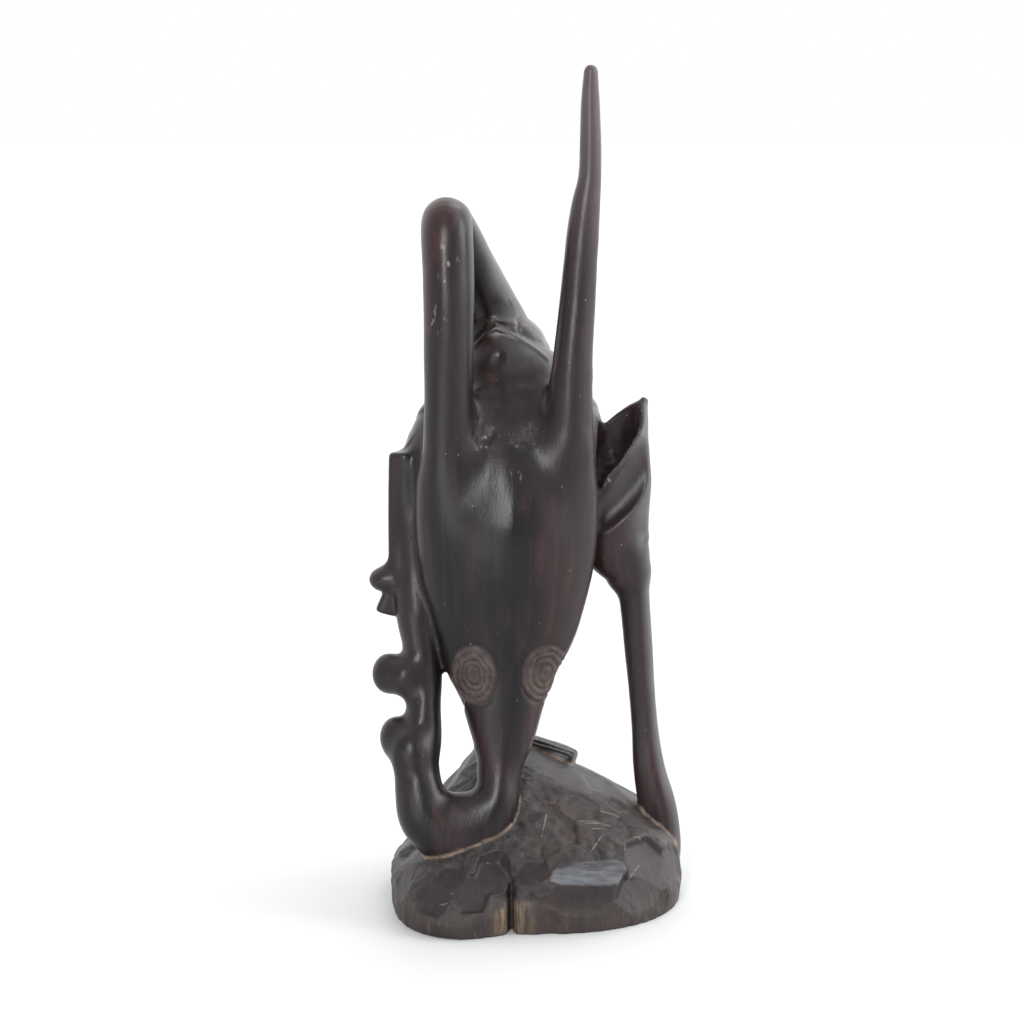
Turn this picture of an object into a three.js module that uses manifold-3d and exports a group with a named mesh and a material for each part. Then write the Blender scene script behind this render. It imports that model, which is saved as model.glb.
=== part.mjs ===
// A spirit figure carved together with its mound-shaped base from one log of blackwood.
//
// Millimetres, +Z up. The figure faces -Y, and +X is to the right as one looks at its front.
// The origin is the middle of the flat underside, on the surface that the carving stands on.
//
// The carving has no separate pieces, so it is one blended field. Every limb is a loft along
// a spline, limbs flow into each other with a stated radius, hollows are scooped out, and the
// surface is then meshed and thinned to as few triangles as the forms allow.

import * as THREE from "three";
import { mergeVertices } from "three/addons/utils/BufferGeometryUtils.js";
import Module from "manifold-3d";

// The base: half its width and depth, how square its outline is, and the height of its rim
// and of its crest.
const BASE_HALF_WIDTH = 80;
const BASE_HALF_DEPTH = 75;
const BASE_POWER = 2.25;
const RIM_HEIGHT = 28;
const CREST_HEIGHT = 82;

// Where the crest is highest, and how far the mound runs down from there on each side.
const CREST_X = -22;
const CREST_Y = 12;
const RUN_RIGHT = 107;
const RUN_LEFT = 43;
const RUN_FRONT = 86;
const RUN_BACK = 66;

// The wall of the base is widest a little above the ground.
const BULGE_HEIGHT = 12;
const BULGE_SPAN = 100;

// How steeply a flat cut ends in the base.
const CUT_END = 1.8;

// The ring of cuts that bevels the rim at the sides and the back.
const BEVEL_CUTS = 11;
const BEVEL_FIRST = THREE.MathUtils.degToRad(-18);
const BEVEL_STEP = THREE.MathUtils.degToRad(21);
const BEVEL_RISE = 0.29;
const BEVEL_BITE = 2.8;
const BEVEL_SIZE = [15, 11];

// Smaller cuts in a spiral over the base, and how far from the others they stay.
const ADZE_CUTS = 60;
const ADZE_BITE = 1.2;
const ADZE_SIZE = [9, 7];
const ADZE_APART = 12;
const GOLDEN_ANGLE = Math.PI * (3 - Math.sqrt(5));

// Where the trunk's blend with the leaf tightens on the way up.
const NECK_HEIGHT = 130;
const NECK_SPAN = 16;

// How softly two forms flow together, as the blend of a smooth union.
const FLOWING = 13;
const SOFT = 8;
const FIRM = 3.5;
const CRISP = 1.5;

// Meshing: the spacing of the sampling grid, and how many triangles stay.
const CELL = 3.4;
const TRIANGLES = 9000;

// Thinning: how full a triangle stays, the cosine of the most that one collapse turns it,
// and how often a collapse that isn't allowed yet is put off.
const LEAST_FULLNESS = 0.02;
const MOST_TURN = 0.3;
const MOST_TRIES = 12;

const DEPTH = new THREE.Vector3(0, 1, 0);
const ACROSS = new THREE.Vector3(1, 0, 0);

const clamp = THREE.MathUtils.clamp;

function smoothUnion(a, b, blend) {
  const share = Math.max(blend - Math.abs(a - b), 0) / blend;
  return Math.min(a, b) - (share * share * blend) / 4;
}

function smoothCut(a, b, blend) {
  return -smoothUnion(-a, b, blend);
}

// A limb. Each station is [x, y, z, half width, depth in front, depth behind], and the
// section between them is a superellipse: power 2 is round, more is squarer. facing is the
// direction that "behind" means.
function loft(stations, { power = 2, roll = 0, facing = DEPTH, cap = null } = {}) {
  const spline = (pick) =>
    new THREE.CatmullRomCurve3(
      stations.map((s) => new THREE.Vector3(...pick(s))),
      false,
      "catmullrom",
    );
  const spine = spline((s) => s.slice(0, 3));
  const girth = spline((s) => s.slice(3, 6));
  const steps = (stations.length - 1) * 5;
  const rings = [];
  for (let i = 0; i <= steps; i++) {
    const t = i / steps;
    const along = spine.getTangent(t);
    const behind = facing.clone().addScaledVector(along, -facing.dot(along)).normalize();
    const side = new THREE.Vector3().crossVectors(behind, along);
    behind.applyAxisAngle(along, roll);
    side.applyAxisAngle(along, roll);
    rings.push({ at: spine.getPoint(t), along, side, behind, girth: girth.getPoint(t) });
  }
  const reach = Math.max(...stations.map((s) => Math.max(s[3], s[4], s[5])));
  const box = new THREE.Box3().setFromPoints(rings.map((r) => r.at));
  box.expandByScalar(reach * 1.5 + FLOWING);

  const point = new THREE.Vector3();
  const offset = new THREE.Vector3();
  const span = new THREE.Vector3();
  const size = new THREE.Vector3();
  const axis = new THREE.Vector3();
  return (x, y, z) => {
    point.set(x, y, z);
    if (!box.containsPoint(point)) return box.distanceToPoint(point) + FLOWING;
    let nearest = Infinity;
    let ring = 0;
    let part = 0;
    for (let i = 0; i < steps; i++) {
      span.subVectors(rings[i + 1].at, rings[i].at);
      offset.subVectors(point, rings[i].at);
      const t = clamp(offset.dot(span) / span.lengthSq(), 0, 1);
      const distance = offset.addScaledVector(span, -t).lengthSq();
      if (distance < nearest) [nearest, ring, part] = [distance, i, t];
    }
    const [a, b] = [rings[ring], rings[ring + 1]];
    offset.lerpVectors(a.at, b.at, part);
    offset.subVectors(point, offset);
    size.lerpVectors(a.girth, b.girth, part);
    const u = offset.dot(axis.lerpVectors(a.side, b.side, part));
    const v = offset.dot(axis.lerpVectors(a.behind, b.behind, part));
    const atEnd = (ring === 0 && part === 0) || (ring === steps - 1 && part === 1);
    const w = atEnd ? offset.dot(axis.lerpVectors(a.along, b.along, part)) : 0;
    const depth = v < 0 ? size.y : size.z;
    const end = cap ?? Math.min(size.x, depth);
    return superellipse([u, v, w], [size.x, depth, end], power);
  };
}

// Distance to a superellipsoid about the origin, to first order.
function superellipse(offset, radii, power) {
  let sum = 0;
  let slope = 0;
  for (let i = 0; i < 3; i++) {
    const share = Math.abs(offset[i]) / radii[i];
    sum += share ** power;
    slope += (share ** (power - 1) / radii[i]) ** 2;
  }
  const smallest = Math.min(...radii);
  if (sum < 1e-6) return -smallest;
  const radius = sum ** (1 / power);
  const gradient = Math.sqrt(slope) * radius ** (1 - power);
  return Math.max((radius - 1) / gradient, -smallest);
}

function ellipsoid(at, radii) {
  return (x, y, z) => superellipse([x - at[0], y - at[1], z - at[2]], radii, 2);
}

// The leaf-shaped front of the body, with a soft keel down its middle and thin rims.
const leaf = loft(
  [
    [-18, -28, 92, 10, 8, 8],
    [-18, -26, 104, 17, 12, 12],
    [-18, -24, 122, 26, 16, 17],
    [-18, -22, 140, 33.5, 20, 22],
    [-15.2, -20, 164, 40, 26.5, 32],
    [-14.2, -19, 190, 45.3, 31.5, 44],
    [-14.8, -18, 213, 47.2, 31.5, 50],
    [-16, -17, 232, 46, 26, 52],
    [-16, -14, 247, 41, 21, 48],
    [-16.5, -9, 261, 34, 16.5, 38],
    [-17, -2.5, 273, 27, 12, 30],
  ],
  { power: 1.8, cap: 3 },
);

// The rounded mass behind the leaf, which rises to a pointed crown.
const crown = loft([
  [-17, 10, 150, 18, 18, 16],
  [-17, 13, 170, 28, 24, 27],
  [-16, 14, 190, 39, 30, 36],
  [-16, 15, 215, 48, 32, 42],
  [-16.5, 15, 235, 54, 35, 43],
  [-15, 15, 252, 53, 33, 42],
  [-15, 15, 268, 47, 29, 39],
  [-16, 15, 284, 35, 22.5, 33],
  [-19, 15, 298, 21, 14, 25],
  [-22, 15, 307, 13, 6, 12],
]);

// The crown's front is split by a groove that runs down from its point, toward two rough
// pockets between the feet of the limb and the horn.
const crownGroove = loft([
  [-21, 5.7, 313, 3, 3, 3.5],
  [-20.5, 1, 300, 2.6, 3, 3.2],
  [-20, -7.5, 287, 2, 2.6, 2.6],
  [-19.6, -17, 275, 1.4, 1.6, 1.6],
]);
const pockets = [
  ellipsoid([-27.5, -32.5, 263], [4.5, 5, 8]),
  ellipsoid([-6, -33, 262.5], [7, 5, 7]),
];

// The bent limb on the viewer's left: up from the leaf, over an elbow, and down behind.
const arm = loft(
  [
    [-49, -13, 160, 8, 7, 7],
    [-47.5, -19, 192, 12, 12.5, 12],
    [-47, -24, 225, 13, 13.5, 13],
    [-46.5, -27, 262, 13.5, 13, 13.3],
    [-46.5, -25, 305, 13.5, 12.8, 13.2],
    [-46.5, -20, 340, 14, 13.5, 13.8],
    [-47.5, -12, 367, 13.5, 13.5, 14],
    [-45, 2, 368, 11.8, 13.5, 12],
    [-34.5, 13, 349, 11, 15, 11],
    [-25, 21, 330, 11.3, 16, 11],
    [-17, 26, 315, 10.5, 19, 11],
    [-11, 28, 305, 8, 20, 10],
  ],
  { facing: ACROSS },
);

// The hand of that limb, flat on the crown.
const hand = loft(
  [
    [-16, 26, 311, 5, 10, 9],
    [-8, 26, 308.5, 6.5, 14, 12],
    [-2, 25, 304, 6, 13, 11],
    [2.5, 24, 299, 4.5, 10, 9],
  ],
  { power: 2.4 },
);

// The tall tapering horn on the viewer's right, kinked where it thins.
const horn = loft([
  [13, -17, 205, 10, 10, 10],
  [16, -23, 244, 13.5, 12, 12],
  [17.5, -22, 267, 12.3, 11.5, 12],
  [19, -18, 298, 10.7, 10.5, 10.5],
  [21.5, -13, 329, 9.5, 9, 9],
  [24, -9, 361, 8.8, 8.3, 8.3],
  [25.8, -7, 379, 7.7, 7.3, 7.3],
  [27.8, -5, 393, 6.3, 6.4, 6.4],
  [28.2, -3, 410, 5.8, 5.8, 5.8],
  [28, -1, 431, 5, 5, 5],
  [28.2, 0, 448, 3.8, 4, 4],
]);

// The trunk: down from the leaf's foot, round in a lobe on the base, and up as a neck that
// only lies against the leaf's rim.
const trunk = loft([
  [-18, -23, 126, 19, 14, 14],
  [-17.6, -28, 101, 18, 14, 14],
  [-19.5, -33, 80, 12.5, 12.5, 13],
  [-22, -39, 62, 12.5, 12.5, 13],
  [-31, -43, 49, 16, 13, 14],
  [-45, -44, 46, 17, 14, 14],
  [-58, -43, 54, 15, 14, 14],
  [-62.5, -40, 68, 13, 13, 13],
  [-63.5, -35, 82, 11.5, 12, 12],
  [-61, -30, 95, 10.2, 11, 11],
  [-60.5, -25, 112, 9.3, 10.5, 11],
  [-59.5, -20, 126, 9, 10, 11],
  [-61.5, -15, 143, 10.5, 11, 12],
  [-63.5, -11, 162, 12, 12, 12],
  [-65, -7, 185, 10, 10, 11],
  [-65, -3, 212, 9.5, 8, 10],
  [-64, 1, 238, 9, 7, 10],
]);

// Fills the inside of the trunk's tight bend.
const bend = ellipsoid([-40, -41, 60], [13, 9, 8]);

// The face in profile on the neck, looking to the viewer's left.
const brow = loft(
  [
    [-72.5, -3, 185, 6.5, 6, 8],
    [-72.5, -2, 215, 6.5, 6, 8],
    [-72.5, 0, 243, 6, 6, 8],
  ],
  { power: 4, roll: -0.35, cap: 3 },
);
const nose = ellipsoid([-81.5, -5, 177], [8.4, 8, 6.6]);
const nostril = loft(
  [
    [-77, -6, 173, 4, 4, 5],
    [-80.5, -7, 160, 6, 4.5, 5],
  ],
  { power: 4, cap: 1.5 },
);
const lips = [
  ellipsoid([-70, -24.5, 127], [7.6, 8, 9.5]),
  ellipsoid([-79.5, -18, 128], [8.8, 9, 10.8]),
  ellipsoid([-67.5, -38, 90], [9.7, 9, 11.3]),
  ellipsoid([-76, -27, 95], [8, 9, 11]),
];

// The wing on the viewer's right, cupped like an ear at the top, and its long thin leg.
const wing = loft(
  [
    [49, 9, 179, 11.5, 9, 10],
    [43, 10, 192, 18, 12, 13],
    [42, 12, 210, 19.5, 14, 15],
    [43, 14, 232, 20, 15, 16],
    [48, 17, 250, 14.5, 14, 14],
    [54, 20, 262, 8, 10, 8],
    [58.5, 21, 270, 2.5, 3, 3],
  ],
  { power: 2.4 },
);
const leg = loft(
  [
    [49.5, 8, 188, 10.8, 8, 9],
    [53.2, 8, 166, 7.9, 7, 8],
    [56.4, 7, 130, 6.9, 6, 8],
    [59.2, 6, 97, 6.7, 6, 8],
    [62, 4, 70, 8, 7, 9],
    [66.5, 2, 48, 9.5, 8, 11],
    [70, 0, 28, 8.5, 8, 12],
    [70, 0, 15, 8, 8, 12],
  ],
  { power: 3, roll: 0.4 },
);
const earHollow = loft(
  [
    [57, 13, 276, 4.5, 4, 4],
    [46.5, 11, 258, 10.5, 8.5, 9.5],
    [37, 9, 241, 10, 9, 10],
    [31, 6, 230, 6.5, 6, 6],
  ],
  { cap: 6 },
);
const wingGroove = loft([
  [71, 1, 255, 8.5, 8, 8],
  [53, -5, 228, 9, 9, 9],
  [34, -8, 208, 7.5, 8, 8],
]);

// The hidden leg behind, with its foot turned to the viewer's right on the crest.
const backLeg = loft([
  [-17, 13, 165, 16, 14, 14],
  [-17, 19, 138, 11, 11, 11],
  [-17, 22, 112, 9, 9, 9],
  [-17, 22, 90, 9, 9, 9],
  [-17, 21, 74, 10, 10, 10],
]);
const backFoot = loft(
  [
    [-19, 21, 78, 7, 9, 9],
    [-2, 19, 77.5, 5.5, 8, 8],
    [13, 16, 74, 4.5, 8.5, 8.5],
    [20, 14, 72, 4.2, 8, 8],
  ],
  { power: 3, cap: 2 },
);

function figure(x, y, z) {
  let d = smoothUnion(leaf(x, y, z), arm(x, y, z), FLOWING);
  d = smoothUnion(d, horn(x, y, z), FLOWING);
  const flow = clamp((NECK_HEIGHT - z) / NECK_SPAN, 0, 1);
  d = smoothUnion(d, trunk(x, y, z), FIRM + (SOFT - FIRM) * flow);
  d = smoothUnion(d, bend(x, y, z), SOFT);
  d = smoothUnion(d, crown(x, y, z), SOFT);
  d = smoothCut(d, crownGroove(x, y, z), FIRM);
  for (const pocket of pockets) d = smoothCut(d, pocket(x, y, z), FIRM);
  d = smoothUnion(d, hand(x, y, z), CRISP);
  d = smoothUnion(d, brow(x, y, z), FIRM);
  d = smoothUnion(d, nose(x, y, z), SOFT);
  d = smoothUnion(d, nostril(x, y, z), CRISP);
  for (const lip of lips) d = smoothUnion(d, lip(x, y, z), SOFT);
  let side = smoothUnion(wing(x, y, z), leg(x, y, z), SOFT);
  side = smoothCut(side, wingGroove(x, y, z), FIRM);
  d = smoothUnion(d, side, FIRM);
  d = smoothCut(d, earHollow(x, y, z), FIRM);
  d = smoothUnion(d, backLeg(x, y, z), FLOWING);
  return smoothUnion(d, backFoot(x, y, z), FIRM);
}

// The part of the base that bulges forward under the trunk's lobe.
const frontLobe = ellipsoid([-39, -33, 8], [38, 51, 30]);

// The base before it is cut: a rounded plinth whose top swells into a mound.
function mound(x, y, z) {
  const down = x < CREST_X ? (CREST_X - x) / RUN_LEFT : (x - CREST_X) / RUN_RIGHT;
  const slope = x < CREST_X ? 2 : 1.6;
  const fall = y < CREST_Y ? (CREST_Y - y) / RUN_FRONT : (y - CREST_Y) / RUN_BACK;
  const along = Math.max(1 - down ** slope, 0);
  const through = Math.max(1 - fall ** 1.6, 0);
  const top = RIM_HEIGHT + (CREST_HEIGHT - RIM_HEIGHT) * along * through;
  const bulge = 1 - ((z - BULGE_HEIGHT) / BULGE_SPAN) ** 2;
  const [across, deep] = [Math.abs(x / BASE_HALF_WIDTH), Math.abs(y / BASE_HALF_DEPTH)];
  const out = (across ** BASE_POWER + deep ** BASE_POWER) ** (1 / BASE_POWER);
  const mass = smoothCut((out - bulge) * BASE_HALF_DEPTH, 0.75 * (top - z), SOFT);
  return smoothUnion(mass, frontLobe(x, y, z), SOFT);
}

function gradient(field, p) {
  const e = 0.5;
  return new THREE.Vector3(
    field(p.x + e, p.y, p.z) - field(p.x - e, p.y, p.z),
    field(p.x, p.y + e, p.z) - field(p.x, p.y - e, p.z),
    field(p.x, p.y, p.z + e) - field(p.x, p.y, p.z - e),
  ).normalize();
}

// A flat cut through a point: everything in front of its plane goes, over a hexagon.
function flatCut(at, facing, [halfWidth, halfHeight]) {
  const across = new THREE.Vector3(0, 0, 1).cross(facing).normalize();
  const up = new THREE.Vector3().crossVectors(facing, across);
  const offset = new THREE.Vector3();
  const depth = (point) => {
    offset.subVectors(point, at);
    const u = offset.dot(across) / halfWidth;
    const v = offset.dot(up) / halfHeight;
    const out = Math.max(Math.abs(v), Math.abs(u) + Math.abs(v) / 2);
    const beyond = Math.max(out - 1, 0) * Math.min(halfWidth, halfHeight);
    return offset.dot(facing) - CUT_END * beyond;
  };
  return { at, depth };
}

// A flat cut under the surface, where a ray from the origin leaves the base.
function surfaceCut(rise, turn, bite, size) {
  const flat = Math.sqrt(1 - rise * rise);
  const out = new THREE.Vector3(flat * Math.cos(turn), flat * Math.sin(turn), rise);
  let [near, far] = [0, 2 * BASE_HALF_WIDTH];
  while (far - near > 0.001) {
    const middle = (near + far) / 2;
    const p = out.clone().multiplyScalar(middle);
    if (mound(p.x, p.y, p.z) < 0) near = middle;
    else far = middle;
  }
  const at = out.clone().multiplyScalar(near);
  const facing = gradient(mound, at);
  return flatCut(at.addScaledVector(facing, -bite), facing, size);
}

// The cuts along the front: a point on each, the way it faces, half its width and height.
const frontCuts = [
  [[-71.0, -45.2, 22.6], [-0.85, -0.32, 0.42], [14, 17]],
  [[-53.9, -69.9, 22.5], [-0.42, -0.78, 0.46], [12, 12]],
  [[-45.8, -67.8, 27.8], [-0.12, -0.56, 0.82], [9, 8]],
  [[-35.2, -73.4, 22.3], [0.1, -0.8, 0.6], [10, 10]],
  [[-23.5, -66.4, 28.4], [0.12, -0.68, 0.72], [9, 9]],
  [[-2.0, -67.3, 30.1], [-0.12, -0.62, 0.77], [9, 9]],
  [[25.5, -67.1, 26.7], [0.17, -0.55, 0.82], [24, 6]],
  [[24.3, -70, 19.5], [0.2, -0.95, 0.2], [21, 9]],
  [[54.7, -53.4, 15.3], [0.55, -0.75, 0.36], [15, 9]],
  [[60.0, -42.1, 25.0], [0.62, -0.52, 0.58], [17, 15]],
  [[73.0, -25.3, 19.7], [0.88, -0.36, 0.3], [12, 12]],
].map(([at, facing, size]) =>
  flatCut(new THREE.Vector3(...at), new THREE.Vector3(...facing).normalize(), size),
);

const bevels = Array.from({ length: BEVEL_CUTS }, (_, i) => {
  const turn = BEVEL_FIRST + (i + 0.2 * Math.sin(2.4 * i)) * BEVEL_STEP;
  return surfaceCut(BEVEL_RISE + 0.04 * Math.sin(3.7 * i), turn, BEVEL_BITE, BEVEL_SIZE);
});
const large = [...frontCuts, ...bevels];
const small = Array.from({ length: ADZE_CUTS }, (_, i) => {
  const size = [ADZE_SIZE[0] + 4 * Math.sin(2.1 * i), ADZE_SIZE[1] + 3 * Math.sin(3.3 * i)];
  return surfaceCut(0.02 + (0.93 * (i + 0.5)) / ADZE_CUTS, i * GOLDEN_ANGLE, ADZE_BITE, size);
}).filter((cut) => large.every((other) => other.at.distanceTo(cut.at) > ADZE_APART));
const cuts = [...large, ...small];

const cleft = ellipsoid([-13.5, -82, 8], [2.5, 18, 42]);

function base(x, y, z) {
  const whole = mound(x, y, z);
  if (Math.abs(whole) > FLOWING) return whole;
  const point = new THREE.Vector3(x, y, z);
  const cut = cuts.reduce((most, { depth }) => Math.max(most, depth(point)), whole);
  return smoothCut(cut, cleft(x, y, z), FIRM);
}

function carving(x, y, z) {
  return smoothUnion(figure(x, y, z), base(x, y, z), CRISP);
}

// Marches the field over a grid of cubes, each split into six tetrahedra, which always
// gives a closed surface.
function polygonise(field, bounds, cell) {
  const size = bounds.getSize(new THREE.Vector3()).divideScalar(cell).ceil().addScalar(1);
  const [nx, ny, nz] = size.toArray();
  const place = (i) => [
    bounds.min.x + (i % nx) * cell,
    bounds.min.y + (Math.floor(i / nx) % ny) * cell,
    bounds.min.z + Math.floor(i / (nx * ny)) * cell,
  ];
  const value = Float64Array.from({ length: nx * ny * nz }, (_, i) => field(...place(i)));
  const step = [1, nx, nx * ny];
  const orders = [
    [0, 1, 2], [0, 2, 1], [1, 0, 2], [1, 2, 0], [2, 0, 1], [2, 1, 0],
  ];
  const points = [];
  const triangles = [];
  const crossings = new Map();

  // The point where the surface crosses the edge from inside node a to outside node b.
  function crossing(a, b) {
    const key = Math.min(a, b) * value.length + Math.max(a, b);
    if (!crossings.has(key)) {
      const t = clamp(value[a] / (value[a] - value[b]), 0.1, 0.9);
      const [p, q] = [place(a), place(b)];
      crossings.set(key, points.length);
      points.push(new THREE.Vector3(...p.map((c, k) => c + (q[k] - c) * t)));
    }
    return crossings.get(key);
  }

  const normal = new THREE.Vector3();
  const outward = new THREE.Vector3();
  const edge = new THREE.Vector3();
  function addTriangle(a, b, c, inside, outside) {
    normal.subVectors(points[b], points[a]).cross(edge.subVectors(points[c], points[a]));
    outward.set(...place(outside)).sub(edge.set(...place(inside)));
    triangles.push(normal.dot(outward) > 0 ? [a, b, c] : [a, c, b]);
  }

  for (let k = 0; k < nz - 1; k++) {
    for (let j = 0; j < ny - 1; j++) {
      for (let i = 0; i < nx - 1; i++) {
        const first = i + j * step[1] + k * step[2];
        for (const order of orders) {
          const corners = [first];
          for (const axis of order) corners.push(corners.at(-1) + step[axis]);
          const inner = corners.filter((c) => value[c] < 0);
          const outer = corners.filter((c) => value[c] >= 0);
          if (!inner.length || !outer.length) continue;
          const [a, b] = inner;
          const [p, q, r] = outer;
          if (inner.length === 1) {
            addTriangle(crossing(a, p), crossing(a, q), crossing(a, r), a, p);
          } else if (inner.length === 3) {
            const ends = inner.map((c) => crossing(c, p));
            addTriangle(...ends, a, p);
          } else {
            const [ap, aq] = [crossing(a, p), crossing(a, q)];
            const [bp, bq] = [crossing(b, p), crossing(b, q)];
            addTriangle(ap, aq, bq, a, p);
            addTriangle(ap, bq, bp, a, p);
          }
        }
      }
    }
  }
  return { points, triangles };
}

// The sum of squared distances to the planes of some faces, as the ten numbers of a
// symmetric four by four matrix.
class Quadric {
  constructor() {
    this.m = new Float64Array(10);
  }
  addPlane({ x, y, z }, d, weight) {
    const terms = [x * x, x * y, x * z, x * d, y * y, y * z, y * d, z * z, z * d, d * d];
    terms.forEach((term, i) => (this.m[i] += term * weight));
  }
  add(other) {
    other.m.forEach((term, i) => (this.m[i] += term));
    return this;
  }
  cost({ x, y, z }) {
    const m = this.m;
    const squares = m[0] * x * x + m[4] * y * y + m[7] * z * z + m[9];
    return squares + 2 * (x * (m[1] * y + m[2] * z + m[3]) + y * (m[5] * z + m[6]) + m[8] * z);
  }
  // The point of least cost, drawn slightly to the point given so that it always exists.
  best(near) {
    const m = this.m;
    const pull = 1e-3 * (m[0] + m[4] + m[7]) + 1e-9;
    const matrix = new THREE.Matrix3();
    matrix.set(m[0] + pull, m[1], m[2], m[1], m[4] + pull, m[5], m[2], m[5], m[7] + pull);
    const aim = new THREE.Vector3(-m[3], -m[6], -m[8]).addScaledVector(near, pull);
    return aim.applyMatrix3(matrix.invert());
  }
}

// A list of collapses with the cheapest first.
class Heap {
  constructor() {
    this.items = [];
  }
  push(item) {
    const items = this.items;
    let i = items.push(item) - 1;
    while (i > 0) {
      const parent = (i - 1) >> 1;
      if (items[parent].cost <= item.cost) break;
      items[i] = items[parent];
      i = parent;
    }
    items[i] = item;
  }
  pop() {
    const items = this.items;
    const first = items[0];
    const last = items.pop();
    if (!items.length) return first;
    let i = 0;
    while (2 * i + 1 < items.length) {
      let child = 2 * i + 1;
      if (child + 1 < items.length && items[child + 1].cost < items[child].cost) child++;
      if (items[child].cost >= last.cost) break;
      items[i] = items[child];
      i = child;
    }
    items[i] = last;
    return first;
  }
}

// Thins a closed mesh by collapsing, again and again, the edge that moves its surface least.
function thin({ points, triangles }, target) {
  const faces = triangles.map((face) => [...face]);
  const around = points.map(() => new Set());
  const quadrics = points.map(() => new Quadric());
  const version = new Uint32Array(points.length);
  const [one, two] = [new THREE.Vector3(), new THREE.Vector3()];
  const normalOf = ([a, b, c]) => one.subVectors(b, a).cross(two.subVectors(c, a)).clone();

  faces.forEach((face, f) => {
    const corners = face.map((v) => points[v]);
    const normal = normalOf(corners);
    const weight = normal.length();
    normal.normalize();
    for (const v of face) {
      around[v].add(f);
      quadrics[v].addPlane(normal, -normal.dot(corners[0]), weight);
    }
  });

  const neighbours = (v) => {
    const found = new Set();
    for (const f of around[v]) faces[f].forEach((w) => w !== v && found.add(w));
    return found;
  };

  const heap = new Heap();
  function offer(a, b) {
    const quadric = new Quadric().add(quadrics[a]).add(quadrics[b]);
    const middle = points[a].clone().lerp(points[b], 0.5);
    const at = quadric.best(middle);
    const length = points[a].distanceTo(points[b]);
    if (at.distanceTo(middle) > length) at.copy(middle);
    const cost = quadric.cost(at) + 1e-3 * length * length;
    heap.push({ cost, a, b, at, quadric, versions: version[a] + version[b], tries: 0 });
  }
  points.forEach((_, a) => neighbours(a).forEach((b) => a < b && offer(a, b)));

  // Twice a triangle's area for the square of its longest side: near 0 in a sliver.
  function fullness(corners, area) {
    const sides = corners.map((c, i) => c.distanceToSquared(corners[(i + 1) % 3]));
    return area / Math.max(...sides);
  }

  // A collapse may not pinch the surface, fold it over or make a sliver.
  function allowed({ a, b, at }) {
    const near = neighbours(a);
    let shared = 0;
    for (const v of neighbours(b)) if (near.has(v)) shared++;
    if (shared !== 2) return false;
    for (const v of [a, b]) {
      for (const f of around[v]) {
        if (faces[f].includes(a) && faces[f].includes(b)) continue;
        const corners = faces[f].map((w) => points[w]);
        const moved = faces[f].map((w) => (w === v ? at : points[w]));
        const [before, after] = [normalOf(corners), normalOf(moved)];
        const [oldArea, newArea] = [before.length(), after.length()];
        const full = fullness(corners, oldArea);
        if (fullness(moved, newArea) < Math.min(LEAST_FULLNESS, full)) return false;
        const turned = before.dot(after) < MOST_TURN * oldArea * newArea;
        if (turned && full > LEAST_FULLNESS) return false;
      }
    }
    return true;
  }

  let left = faces.length;
  while (left > target && heap.items.length) {
    const edge = heap.pop();
    const { a, b } = edge;
    if (!around[a] || !around[b] || edge.versions !== version[a] + version[b]) continue;
    if (!allowed(edge)) {
      const again = { ...edge, cost: 2 * edge.cost, tries: edge.tries + 1 };
      if (again.tries < MOST_TRIES) heap.push(again);
      continue;
    }
    points[a] = edge.at;
    quadrics[a] = edge.quadric;
    for (const f of around[b]) {
      if (faces[f].includes(a)) {
        for (const v of faces[f]) if (v !== b) around[v].delete(f);
        faces[f] = null;
        left--;
      } else {
        faces[f][faces[f].indexOf(b)] = a;
        around[a].add(f);
      }
    }
    around[b] = null;
    version[a]++;
    for (const v of neighbours(a)) offer(a, v);
  }

  const kept = new Map();
  const index = faces.filter(Boolean).flat();
  for (const v of index) if (!kept.has(v)) kept.set(v, kept.size);
  return {
    positions: [...kept.keys()].flatMap((v) => points[v].toArray()),
    index: index.map((v) => kept.get(v)),
  };
}

const wasm = await Module();
wasm.setup();

function solid({ positions, index }) {
  const vertProperties = Float32Array.from(positions);
  const triVerts = Uint32Array.from(index);
  return new wasm.Manifold(new wasm.Mesh({ numProp: 3, vertProperties, triVerts }));
}

// The field runs on a little below the ground, and everything down there is cut away, which
// leaves the flat underside.
function cutAtGround(mesh) {
  const size = 4 * BASE_HALF_WIDTH;
  const box = new THREE.BoxGeometry(size, size, size).translate(0, 0, -size / 2);
  box.deleteAttribute("normal");
  box.deleteAttribute("uv");
  const ground = mergeVertices(box);
  const { position } = ground.attributes;
  return mesh.subtract(solid({ positions: position.array, index: ground.index.array }));
}

const bounds = new THREE.Box3(
  new THREE.Vector3(-95, -92, -2 * CELL),
  new THREE.Vector3(95, 88, 458),
);
const buried = (x, y, z) => Math.max(carving(x, y, z), -CELL - z);
const carved = cutAtGround(solid(thin(polygonise(buried, bounds, CELL), TRIANGLES)));

const { vertProperties, triVerts } = carved.getMesh();
const geometry = new THREE.BufferGeometry();
geometry.setAttribute("position", new THREE.BufferAttribute(vertProperties, 3));
geometry.setIndex(new THREE.BufferAttribute(triVerts, 1));
geometry.computeVertexNormals();

const blackwood = new THREE.MeshStandardMaterial({
  color: 0x1b1412,
  roughness: 0.32,
  metalness: 0,
});
const mesh = new THREE.Mesh(geometry, blackwood);
mesh.name = "spirit_carving";

const model = new THREE.Group();
model.name = "spirit_figure";
model.add(mesh);

export default model;
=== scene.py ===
"""The looks of the spirit carving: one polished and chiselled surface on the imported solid.

The carving is one piece of wood, so it is one mesh. It starts as a fine remesh of the CAD
solid and is drawn onto the blended limbs that the solid was made from, a few of them slightly
refined. Then it gets its eyes, tool marks, edges and grain. The carving's sizes are in
millimetres until they are written to the mesh, and the studio's are in metres.
"""

import math

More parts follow.
